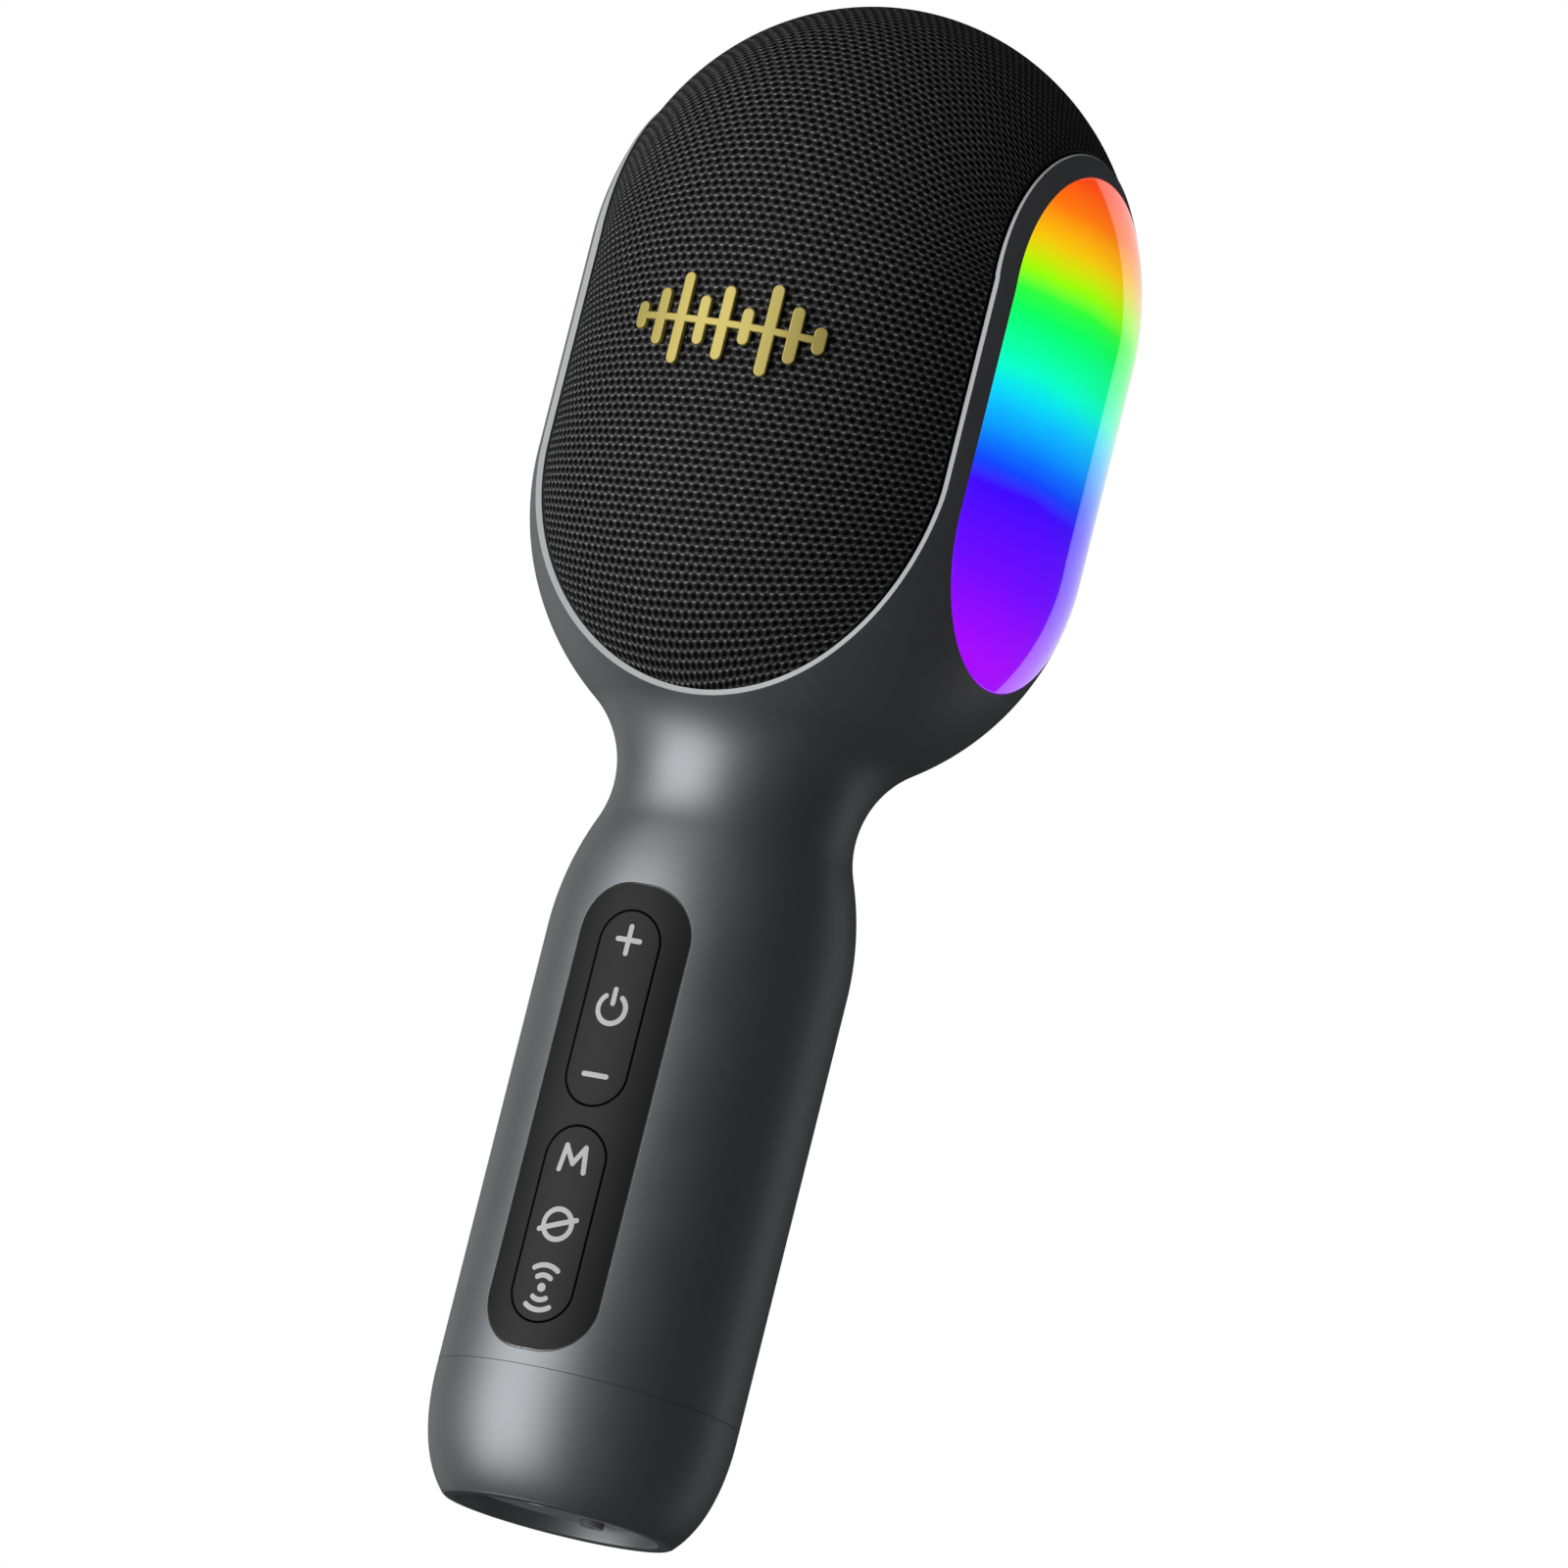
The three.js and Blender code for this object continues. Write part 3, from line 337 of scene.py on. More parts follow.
def cut_grid(surface, us, vs, region, inset):
    """The cells of a grid inside a region, clipped at its edge.

    Returns the (u, v) places, the polygons as place numbers, the number of the first place on
    the edge, and the edge's pieces as pairs of place numbers."""
    u, v = np.meshgrid(us, vs, indexing="ij")
    inside = margin(surface, region, u, v)[0] > inset
    grid = np.stack([u, v], -1)
    first = int(inside.sum())
    number = np.full(inside.shape, -1)
    number[inside] = np.arange(first)
    crossings, starts, ends = edge_crossings(inside, grid, first)
    places = np.vstack([grid[inside], edge_places(surface, region, inset, starts, ends)])
    corners = (np.s_[:-1, :-1], np.s_[1:, :-1], np.s_[1:, 1:], np.s_[:-1, 1:])
    count = sum(inside[corner].astype(int) for corner in corners)
    polygons = np.stack([number[corner][count == 4] for corner in corners], -1).tolist()
    pieces = []
    for i, j in np.argwhere((count > 0) & (count < 4)):
        polygon, parts = clipped_cell(i, j, inside, number, crossings)
        polygons.append(polygon)
        pieces += parts
    return places, polygons, first, pieces


def profile_normals(profile, before=None):
    """For each stretch of a profile of (outset, drop) points, its normals at both ends, with
    round stretches shaded smooth. Normals are (outward, upward) pairs."""
    stretches = []
    for (o1, d1), (o2, d2) in zip(profile, profile[1:]):
        length = math.hypot(o2 - o1, d2 - d1)
        stretches.append(((d2 - d1) / length, (o2 - o1) / length))
    ends = []
    for k, own in enumerate(stretches):
        previous = stretches[k - 1] if k else before
        following = stretches[k + 1] if k + 1 < len(stretches) else None
        pair = []
        for other in (previous, following):
            if other and own[0] * other[0] + own[1] * other[1] > SMOOTH_TURN:
                pair.append((own[0] + other[0], own[1] + other[1]))
            else:
                pair.append(own)
        ends.append(pair)
    return ends


def make_mesh(name, points, faces, materials, normals=None, uvs=None, slots=None):
    """A mesh from points in millimetres; normals and uvs are given for each face corner."""
    mesh = bpy.data.meshes.new(name)
    mesh.from_pydata((np.asarray(points) * MM).tolist(), [], faces)
    mesh.polygons.foreach_set("use_smooth", np.ones(len(faces), bool))
    for material in materials:
        mesh.materials.append(material)
    if slots is not None:
        mesh.polygons.foreach_set("material_index", np.asarray(slots, np.int32))
    if uvs is not None:
        layer = mesh.uv_layers.new(name="UVMap")
        layer.data.foreach_set("uv", np.asarray(uvs, np.float32).ravel())
    if normals is not None:
        normals = np.asarray(normals, float)
        normals /= np.maximum(np.linalg.norm(normals, axis=1, keepdims=True), 1e-9)
        mesh.normals_split_custom_set(normals.tolist())
    piece = bpy.data.objects.new(name, mesh)
    bpy.context.scene.collection.objects.link(piece)
    return piece


def sheet_points(points, normals, way_out, first, profile):
    """A sheet's face, its back, and a ring round its edge for each step of the profile."""
    rings = [points, points - profile[-1][1] * normals]
    last = [profile[-1]] if profile[-1][0] != 0 else []
    for outset, drop in profile[1:-1] + last:
        rings.append(points[first:] + outset * way_out[first:] - drop * normals[first:])
    return np.vstack(rings)


def edge_cells(pieces, profile, count, first):
    """The cells round a sheet's edge, as (point numbers, stretch, corner places, corner turns).

    A turn is a normal's (outward, upward) parts. The stretch is None on the back's rim."""
    slanted = profile[-1][0] != 0
    ring_total = len(profile) - 2 + int(slanted)

    def number(ring, place):
        if ring == 0:
            return place
        if ring <= ring_total:
            return 2 * count + (ring - 1) * (count - first) + place - first
        return count + place

    cells = []
    stretches = profile_normals(profile, before=(0, 1))
    for a, b in pieces:
        for k, (top, low) in enumerate(stretches):
            numbers = [number(k, b), number(k, a), number(k + 1, a), number(k + 1, b)]
            cells.append((numbers, k, (b, a, a, b), (top, top, low, low)))
        if slanted:
            numbers = [number(ring_total, b), number(ring_total, a), count + a, count + b]
            cells.append((numbers, None, (b, a, a, b), ((0, -1),) * 4))
    return cells


def sheet_piece(name, surface, us, vs, region, materials, profile, inset=0.0,
                edge_slots=None, edge_of=None):
    """A closed piece: the part of a surface inside a region, with an edge profile and a back.

    The profile is a list of (outset, drop) points that starts at (0, 0); its last drop is the
    piece's thickness. edge_slots gives a material number for each of its stretches, on the whole
    edge or only where it follows the edge of the region edge_of."""
    places, polygons, first, pieces = cut_grid(surface, us, vs, region, inset)
    _, points, normals, way_out = margin(surface, region, places[:, 0], places[:, 1])
    count = len(points)
    backs = [polygon[::-1] for polygon in polygons]
    face_order, back_order = np.concatenate(polygons), np.concatenate(backs)
    cells = edge_cells(pieces, profile, count, first)
    marked = np.full(count, bool(edge_slots))
    if edge_of:
        marked &= edge_of(points) < 1
    slots = [0] * (2 * len(polygons))
    for _, stretch, corners, _ in cells:
        bright = stretch is not None and marked[corners[1]]
        slots.append(edge_slots[stretch] if bright else 0)
    edge_order = np.array([place for cell in cells for place in cell[2]])
    turns = np.array([turn for cell in cells for turn in cell[3]], float)
    edge_normals = turns[:, :1] * way_out[edge_order] + turns[:, 1:] * normals[edge_order]
    faces = polygons + [[count + k for k in back] for back in backs] + [cell[0] for cell in cells]
    corner_normals = np.vstack([normals[face_order], -normals[back_order], edge_normals])
    uvs = places[np.concatenate([face_order, back_order, edge_order])]
    all_points = sheet_points(points, normals, way_out, first, profile)
    return make_mesh(name, all_points, faces, materials, corner_normals, uvs, slots)


def edge_band(name, surface, us, vs, region, section, material, depth_share):
    """A closed strip that follows a region's edge, with a section of (outset, drop) points.

    depth_share scales the drops at each point."""
    places, _, first, pieces = cut_grid(surface, us, vs, region, 0.0)
    edge = places[first:]
    _, points, normals, way_out = margin(surface, region, edge[:, 0], edge[:, 1])
    share = depth_share(points)[:, None]
    count, sides = len(points), len(section)
    all_points = [points + o * way_out - d * share * normals for o, d in section]
    stretches = profile_normals([*section, section[0]])
    faces, face_normals = [], []
    for piece in pieces:
        a, b = piece[0] - first, piece[1] - first
        for k, (top, low) in enumerate(stretches):
            here, below = k * count, ((k + 1) % sides) * count
            faces.append([here + b, here + a, below + a, below + b])
            for place, (out, up) in ((b, top), (a, top), (a, low), (b, low)):
                face_normals.append(out * way_out[place] + up * normals[place])
    return make_mesh(name, np.vstack(all_points), faces, [material], face_normals)


def turned_piece(name, outline, material, steps=192, place=(0, 0)):
    """A closed outline of (radius, height) points turned about a vertical axis."""
    x, y = place
    angles = np.arange(steps) * 2 * math.pi / steps
    points, rows = [], []
    for radius, height in outline:
        rows.append(list(range(len(points), len(points) + steps)))
        points += [(x + radius * math.cos(a), y + radius * math.sin(a), height) for a in angles]
    faces = []
    for low, high in zip(rows, rows[1:] + rows[:1]):
        for k in range(steps):
            n = (k + 1) % steps
            faces.append([low[k], low[n], high[n], high[k]])
    piece = make_mesh(name, points, faces, [material])
    piece.data.set_sharp_from_angle(angle=SHARP_ANGLE)
    return piece


def rounded(outline, radii, steps=4):
    """The closed outline with its corners rounded; radii gives one radius for each corner."""
    result = []
    for i, (corner, radius) in enumerate(zip(outline, radii)):
        if not radius:
            result.append(tuple(corner))
            continue
        here = Vector(corner)
        before = (Vector(outline[i - 1]) - here).normalized()
        after = (Vector(outline[(i + 1) % len(outline)]) - here).normalized()
        half = before.angle(after) / 2
        reach = radius / math.tan(half)
        start, end = here + before * reach, here + after * reach
        centre = here + (before + after).normalized() * (radius / math.sin(half))
        for k in range(steps + 1):
            arm = (start - centre).lerp(end - centre, k / steps).normalized()
            result.append(tuple(centre + arm * radius))
    return result


# ------------------------------------------------------------------ materials
class Value:
    """A number inside a material, so that patterns can be written as sums."""

    def __init__(self, tree, socket):
        self.tree, self.socket = tree, socket

    def math(self, operation, *others):
        node = self.tree.nodes.new("ShaderNodeMath")
        node.operation = operation
        for slot, value in zip(node.inputs, (self, *others)):
            if isinstance(value, Value):
                self.tree.links.new(value.socket, slot)
            else:
                slot.default_value = value
        return Value(self.tree, node.outputs[0])

    def __add__(self, other):
        return self.math("ADD", other)

    def __sub__(self, other):
        return self.math("SUBTRACT", other)

    def __mul__(self, other):
        return self.math("MULTIPLY", other)

    def between(self, low, high):
        """0 below low and 1 above high, or the other way round when low is the larger."""
        node = self.tree.nodes.new("ShaderNodeMapRange")
        node.interpolation_type = "SMOOTHSTEP"
        self.tree.links.new(self.socket, node.inputs["Value"])
        backwards = low > high
        node.inputs["From Min"].default_value = min(low, high)
        node.inputs["From Max"].default_value = max(low, high)
        node.inputs["To Min"].default_value = 1.0 if backwards else 0.0
        node.inputs["To Max"].default_value = 0.0 if backwards else 1.0
        return Value(self.tree, node.outputs["Result"])


def new_material(name):
    material = bpy.data.materials.new(name)
    material.use_nodes = True
    tree = material.node_tree
    return material, tree, tree.nodes["Principled BSDF"]


def noise(tree, size, detail=2.0, stretch=(1, 1, 1)):
    """Noise with lumps of about size millimetres, in the row frame."""
    place = tree.nodes.new("ShaderNodeTexCoord")
    scale = tree.nodes.new("ShaderNodeMapping")
    scale.inputs["Scale"].default_value = stretch
    node = tree.nodes.new("ShaderNodeTexNoise")
    node.inputs["Scale"].default_value = 1 / (size * MM)
    node.inputs["Detail"].default_value = detail
    tree.links.new(place.outputs["Object"], scale.inputs["Vector"])
    tree.links.new(scale.outputs["Vector"], node.inputs["Vector"])
    return Value(tree, node.outputs["Fac"])


def mixed_colour(tree, share, first, second):
    node = tree.nodes.new("ShaderNodeMix")
    node.data_type = "RGBA"
    tree.links.new(share.socket, node.inputs["Factor"])
    node.inputs["A"].default_value = (*first, 1)
    node.inputs["B"].default_value = (*second, 1)
    return node.outputs["Result"]


def add_bump(tree, shader, height, distance, strength=1.0):
    node = tree.nodes.new("ShaderNodeBump")
    node.inputs["Distance"].default_value = distance * MM
    node.inputs["Strength"].default_value = strength
    tree.links.new(height.socket, node.inputs["Height"])
    tree.links.new(node.outputs["Normal"], shader.inputs["Normal"])


def plain_material(name, colour, roughness, metallic=0.0, grain=0.3, bump=0.01, spread=0.12,
                   stretch=(1, 1, 1), specular=0.5):
    """A moulded, painted or plated finish: fine grain, with slightly uneven colour and gloss."""
    material, tree, shader = new_material(name)
    fine = noise(tree, grain, 3.0, stretch)
    broad = noise(tree, 14.0, 2.0)
    dark = [c * (1 - spread) for c in colour]
    light = [min(c * (1 + spread), 1) for c in colour]
    share = (fine * 0.5 + broad * 0.5).between(0.3, 0.7)
    tree.links.new(mixed_colour(tree, share, dark, light), shader.inputs["Base Color"])
    uneven = (fine - 0.5) * 0.12 + (broad - 0.5) * 0.1 + roughness
    tree.links.new(uneven.socket, shader.inputs["Roughness"])
    shader.inputs["Metallic"].default_value = metallic
    shader.inputs["Specular IOR Level"].default_value = specular
    add_bump(tree, shader, fine, bump)
    return material


CLOTH_COLUMN = 1.72
CLOTH_ROW = 1.37
CLOTH_TILT = 0.063
CLOTH_PINCH = 1.1e-4
CLOTH_MIDDLE = 177.5
CLOTH_BLUR = 0.45
# Painted sheen and shade: the grey below stands in for light catching the weave's floats and loops, and
# the black stands in for shade seen through its holes.
CLOTH_BLACK = (0.0008, 0.0008, 0.001)
CLOTH_SHEEN_GREY = (0.27, 0.27, 0.274)
# Half widths and half heights of the weave's floats, loops and holes.
FLOAT_SIZE = (0.44, 0.2)
LOOP_SIZE = (0.42, 0.26)
HOLE_SIZE = (0.5, 0.42)
# Their heights in a row, as shares of it. A hole reaches into the row above.
FLOAT_PLACE = 0.29
LOOP_PLACE = 0.52
HOLE_PLACE = 0.92
FLOAT_SAG = 1.1
LOOP_SHEEN = 0.42
YARN_SHEEN = 0.14


def cloth_rows(across, along):
    """Where a place lies in the rows, which rise to the right and draw in at the sides."""
    pinch = across * across * CLOTH_PINCH
    return along - across * CLOTH_TILT + pinch * (along - CLOTH_MIDDLE)


def blob(across, up, size):
    """A soft oval spot of the weave, from places counted in columns and rows from its middle."""
    wide = across * (CLOTH_COLUMN / size[0])
    tall = up * (CLOTH_ROW / size[1])
    return (wide * wide + tall * tall).math("SQRT").between(1 + CLOTH_BLUR, 1 - CLOTH_BLUR)


def cloth_sheen(tree):
    """How much painted sheen the weave shows: staggered rows of bright floats, dim loops and open holes,
    which show none and so are painted dark as shade.
    """
    place = tree.nodes.new("ShaderNodeUVMap")
    place.uv_map = "UVMap"
    split = tree.nodes.new("ShaderNodeSeparateXYZ")
    tree.links.new(place.outputs["UV"], split.inputs["Vector"])
    across, along = Value(tree, split.outputs["X"]) * HEAD_R, Value(tree, split.outputs["Y"])
    warp = (noise(tree, 3.0) - 0.5) * 0.2
    rows = cloth_rows(across, along) * (1 / CLOTH_ROW) + warp
    shift = (rows.math("FLOOR") * 0.5).math("FRACT")
    u = (across * (1 / CLOTH_COLUMN) + shift + warp).math("FRACT")
    v = rows.math("FRACT")
    from_middle = (u - 0.5).math("ABSOLUTE")
    from_side = from_middle * -1 + 0.5
    sag = from_middle * from_middle * FLOAT_SAG
    floats = blob(from_middle, v - FLOAT_PLACE - sag, FLOAT_SIZE)
    loops = blob(from_side, v - LOOP_PLACE, LOOP_SIZE)
    hole = blob(from_middle, v - HOLE_PLACE, HOLE_SIZE)
    hole = hole.math("MAXIMUM", blob(from_side, v - (HOLE_PLACE - 1), HOLE_SIZE))
    yarn = (hole * -1 + 1) * YARN_SHEEN
    return floats.math("MAXIMUM", loops * LOOP_SHEEN).math("MAXIMUM", yarn)


def cloth_material():
    """Black acoustic mesh. The grey of its floats and loops is painted sheen on black yarn, and its holes
    are painted black as shade seen through the mesh.
    """
    material, tree, shader = new_material("acoustic_cloth")
    weave_sheen = cloth_sheen(tree)
    patchy = noise(tree, 0.35, 3.0).between(0.3, 0.7)
    share = weave_sheen * (patchy * 0.7 + 0.4)
    colour = mixed_colour(tree, share, CLOTH_BLACK, CLOTH_SHEEN_GREY)
    tree.links.new(colour, shader.inputs["Base Color"])
    shader.inputs["Roughness"].default_value = 0.7
    shader.inputs["Specular IOR Level"].default_value = 0.04
    add_bump(tree, shader, weave_sheen, 0.2, 0.6)
    return material


# The colour of the side lights at these heights.
LENS_COLOURS = (
    (143.2, (165, 1, 254)),
    (155.2, (111, 0, 255)),
    (167.9, (60, 0, 254)),
    (171.0, (12, 67, 253)),
    (174.1, (1, 112, 255)),
    (180.2, (1, 188, 254)),
    (183.2, (0, 223, 241)),
    (186.2, (0, 251, 205)),
    (189.6, (0, 255, 165)),
    (195.7, (0, 254, 95)),
    (198.8, (45, 254, 56)),
    (201.9, (148, 254, 1)),
    (205.0, (211, 228, 0)),
    (208.1, (249, 195, 1)),
    (214.2, (255, 121, 1)),
    (220.2, (255, 70, 10)),
)
# How much the bands of colour sink from the front of a window to its back.
LENS_SLANT = 0.035


def linear(colour):
    """An 8-bit screen colour as linear light."""
    parts = [c / 255 for c in colour]
    return [c / 12.92 if c <= 0.04045 else ((c + 0.055) / 1.055) ** 2.4 for c in parts]


def lens_material():
    """A glossy diffusing window, lit from behind in colours that change with height."""
    material, tree, shader = new_material("lit_lens")
    place = tree.nodes.new("ShaderNodeTexCoord")
    split = tree.nodes.new("ShaderNodeSeparateXYZ")
    tree.links.new(place.outputs["Object"], split.inputs["Vector"])
    low, high = LENS_COLOURS[0][0], LENS_COLOURS[-1][0]
    height = Value(tree, split.outputs["Z"]) + Value(tree, split.outputs["Y"]) * LENS_SLANT
    cloudy = (noise(tree, 9.0, 2.0) - 0.5) * 0.02
    share = (height * (1 / MM) - low) * (1 / (high - low)) + cloudy
    ramp = tree.nodes.new("ShaderNodeValToRGB")
    tree.links.new(share.socket, ramp.inputs["Fac"])
    while len(ramp.color_ramp.elements) < len(LENS_COLOURS):
        ramp.color_ramp.elements.new(1.0)
    for element, (z, colour) in zip(ramp.color_ramp.elements, LENS_COLOURS):
        element.position = (z - low) / (high - low)
        element.color = (*linear(colour), 1)
    tree.links.new(ramp.outputs["Color"], shader.inputs["Emission Color"])
    shader.inputs["Emission Strength"].default_value = 1.08
    shader.inputs["Base Color"].default_value = (0.012, 0.012, 0.014, 1)
    shader.inputs["Roughness"].default_value = 0.5
    shader.inputs["Specular IOR Level"].default_value = 0.0
    shader.inputs["Coat Weight"].default_value = 1.0
    shader.inputs["Coat Roughness"].default_value = 0.06
    shader.inputs["Coat IOR"].default_value = 1.6
    return material


paint = plain_material("gunmetal_paint", (0.295, 0.305, 0.32), 0.5, 0.88,
                       grain=0.12, bump=0.003, spread=0.05)
cut_edge = plain_material("bright_cut_edge", (0.62, 0.63, 0.64), 0.25, 1.0,
                          grain=0.1, bump=0.002, spread=0.04)
silver = plain_material("satin_silver", (0.64, 0.645, 0.65), 0.5,
                        grain=0.1, bump=0.003, spread=0.04)
key_black = plain_material("soft_touch_black", (0.009, 0.009, 0.0095), 0.52,
                           grain=0.1, bump=0.004, specular=0.3)
key_print = plain_material("pad_print", (0.60, 0.60, 0.61), 0.55,
                           grain=0.1, bump=0.003, spread=0.05)
port_black = plain_material("port_black", (0.085, 0.085, 0.088), 0.5, grain=0.15)
gold = plain_material("satin_gold", (0.56, 0.46, 0.12), 0.45, 0.4,
                      grain=0.12, bump=0.003, spread=0.04)
cloth = cloth_material()
lens = lens_material()

SLOT_MATERIALS = {
    "paint": paint,
    "port_plastic": port_black,
    "key_plastic": key_black,
    "silver_trim": silver,
    "gold_badge": gold,
    "grille_cloth": cloth,
    "light_lens": lens,
    "black_plastic": plain_material("moulded_black", (0.02, 0.02, 0.021), 0.55, bump=0.012),
    "diffuser": plain_material("milky_diffuser", (0.8, 0.8, 0.82), 0.5,
                               grain=0.5, bump=0.005, spread=0.03),
    "steel": plain_material("plated_steel", (0.55, 0.56, 0.58), 0.3, 1.0,
                            grain=0.2, bump=0.004, stretch=(1, 1, 9)),
    "magnet": plain_material("sintered_ferrite", (0.05, 0.05, 0.055), 0.6, 0.3, grain=0.6, bump=0.03),
    "copper": plain_material("enamelled_copper", (0.6, 0.27, 0.12), 0.3, 1.0,
                             grain=0.2, bump=0.02, stretch=(1, 8, 1)),
    "board": plain_material("solder_mask", (0.02, 0.13, 0.05), 0.4, grain=1.2),
    "cell_wrap": plain_material("cell_wrap", (0.06, 0.16, 0.42), 0.35, grain=2.5, bump=0.02),
    "cone_paper": plain_material("coated_paper", (0.03, 0.028, 0.026), 0.75, grain=0.7, bump=0.06),
    "rubber": plain_material("matt_rubber", (0.015, 0.015, 0.015), 0.7, grain=0.5, bump=0.02),
    "foam": plain_material("open_cell_foam", (0.03, 0.03, 0.032), 0.95,
                           grain=0.8, bump=0.4, spread=0.4),
}


def finish_cad_nodes():
    """Gives every CAD node the finish of its material slot."""
    slots = {row["node"]: row["material_slot"] for row in frame["record"]["subparts"]}
    for name, node in frame["nodes"].items():
        node.data.materials.clear()
        node.data.materials.append(SLOT_MATERIALS[slots[name]])


def settle(piece, body, slot, *nodes):
    """Puts a piece on its body and hides the CAD nodes that it stands for. Its slot is not used."""
    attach(piece, body)
    if nodes:
        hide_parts(*nodes)
    return piece


# ------------------------------------------------------------------ shell
SEAM_HALF_GAP = 0.02
SHELL_EDGE = 0.05
SHELL_STEP = 0.85
SHELL_TURN = math.radians(1.25)
CAP_CURVE = ((RIM_R, 0), (21.6, 3.4), (HANDLE_R, 9.5), (HANDLE_R, 19))
CAP_CURVE_STEPS = 40
CAP_WALL_R = HANDLE_R - 3
CAP_SHELF_Z = 8
CAP_LEDGE_Z = 6
CAP_RIM_ROUNDINGS = (0.45, 0.35)


def round_edge(radius, thickness, steps=4):
    """A rounded edge and a straight wall, as a sheet's profile."""
    turns = [k * math.pi / 2 / steps for k in range(steps + 1)]
    return [(radius * math.sin(a), radius * (1 - math.cos(a))) for a in turns] + [(radius, thickness)]


def heights(low, high, step):
    """Evenly spaced places from low to high, about a step apart."""
    return np.linspace(low, high, round((high - low) / step) + 1)


def weld_seam(piece):
    """Joins the first and last columns of a sheet that turns a full circle."""
    mesh = piece.data
    count = len(mesh.loops)
    normals = np.zeros(count * 3)
    mesh.corner_normals.foreach_get("vector", normals)
    form = bmesh.new()
    form.from_mesh(mesh)
    bmesh.ops.remove_doubles(form, verts=form.verts, dist=0.5e-6)
    form.to_mesh(mesh)
    form.free()
    if len(mesh.loops) == count:
        mesh.normals_split_custom_set(normals.reshape(-1, 3).tolist())


def build_housing():
    low = SEAM_Z + SEAM_HALF_GAP
    holes = outside_of(opening_region, lens_region(1), lens_region(-1), panel_region)
    span = both(holes, lambda p: p[..., 2] - low)
    # The grid turns a full circle, so it starts inside the back's opening.
    columns = heights(0, 2 * math.pi, SHELL_TURN) + math.pi
    rows = heights(low - 1, ARCH_Z + ARCH_R + 3, SHELL_STEP)
    shell = sheet_piece("housing_shell", form_surface(0), columns, rows, span, [paint],
                        round_edge(SHELL_EDGE, WALL), SHELL_EDGE)
    weld_seam(shell)
    settle(shell, "housing", "paint", "main_housing")


def bezier_point(curve, t):
    weights = ((1 - t) ** 3, 3 * t * (1 - t) ** 2, 3 * t**2 * (1 - t), t**3)
    return tuple(sum(w * p[i] for w, p in zip(weights, curve)) for i in (0, 1))


def build_cap():
    outside = [bezier_point(CAP_CURVE, k / CAP_CURVE_STEPS) for k in range(1, CAP_CURVE_STEPS + 1)]
    top = SEAM_Z - SEAM_HALF_GAP
    inside = [
        (HANDLE_R, top),
        (CAP_WALL_R, top),
        (CAP_WALL_R, CAP_SHELF_Z),
        (RIM_INNER_R, CAP_LEDGE_Z),
        (RIM_INNER_R, 0),
        (RIM_R, 0),
    ]
    outline = outside + rounded(inside, [SHELL_EDGE, 0, 0, 0, *CAP_RIM_ROUNDINGS])
    settle(turned_piece("cap_shell", outline, paint), "housing", "paint", "bottom_cap")


# ------------------------------------------------------------------ grille
CLOTH_SPREAD = math.radians(58)
CLOTH_COLUMNS = 111
CLOTH_STEP = 1.0
CLOTH_INSET = 0.95
CLOTH_EDGE = [(0, 0), (0.2, 0.06), (0.34, 0.2), (0.42, 0.42), (0.45, 0.8)]
TRIM_SECTION = [(-0.03, 0.02), (-0.36, 0.86), (-0.03, 0.95)]


def trim_depth_share(points):
    """How deep the trim is: it fades out towards the top, faster than the cloth's recess."""
    return 0.1 + 0.9 * (fabric_depth(points[..., 2]) / FABRIC_RECESS) ** 2


def build_grille():
    across = np.linspace(-CLOTH_SPREAD, CLOTH_SPREAD, CLOTH_COLUMNS)
    low = OPENING_CURVE_Z - OPENING_CURVE_H - 2
    back_low = 2 * (DOME_Z + DOME_HEIGHT * math.pi / 2) - low
    along = heights(low, back_low, CLOTH_STEP)
    sheet = sheet_piece("grille_cloth_sheet", cloth_surface(fabric_depth), across, along, opening_region,
                        [cloth, key_black], CLOTH_EDGE, CLOTH_INSET, edge_slots=[1] * 4)
    settle(sheet, "housing", "grille_cloth", "grille_fabric")
    band = edge_band("grille_trim_band", cloth_surface(0), across, along, opening_region,
                     TRIM_SECTION, silver, trim_depth_share)
    settle(band, "housing", "silver_trim", "grille_trim")


BADGE_HALF = 8
BADGE_SPREAD = 0.42
BADGE_BARS = (2.2, 4.6, 7.4, 4, 6, 3, 7.4, 4.6, 2.2)
BADGE_PITCH = 3.9
BADGE_BAR_R = 1.0
BADGE_DEPTH = 0.2
BADGE_EDGE = 0.2


def badge_region(p):
    """A generic sound wave: rounded bars of different heights on a thin line."""
    x, z = p[..., 0], p[..., 2] - BADGE_Z
    inside = rounded_box_distance(x, z, 16.6, 0.6, 0.5)
    for k, height in enumerate(BADGE_BARS):
        middle = (k - (len(BADGE_BARS) - 1) / 2) * BADGE_PITCH
        bar = stadium_distance(x - middle, z, BADGE_BAR_R - height, height - BADGE_BAR_R, BADGE_BAR_R)
        inside = np.maximum(inside, bar)
    return np.where(p[..., 1] < 0, inside, -1.0)


def build_badge():
    angles = np.linspace(-BADGE_SPREAD, BADGE_SPREAD, 181)
    rows = heights(BADGE_Z - BADGE_HALF, BADGE_Z + BADGE_HALF, 0.2)
    badge = sheet_piece("wave_badge_plate", form_surface(BADGE_DEPTH), angles, rows, badge_region, [gold],
                        round_edge(BADGE_EDGE, 0.75), BADGE_EDGE)
    settle(badge, "housing", "gold_badge", "wave_badge")


# ------------------------------------------------------------------ lights
LENS_SPREAD = 0.62
LENS_INSET = 0.3
LENS_EDGE = 0.22
LENS_THICK = 2.0


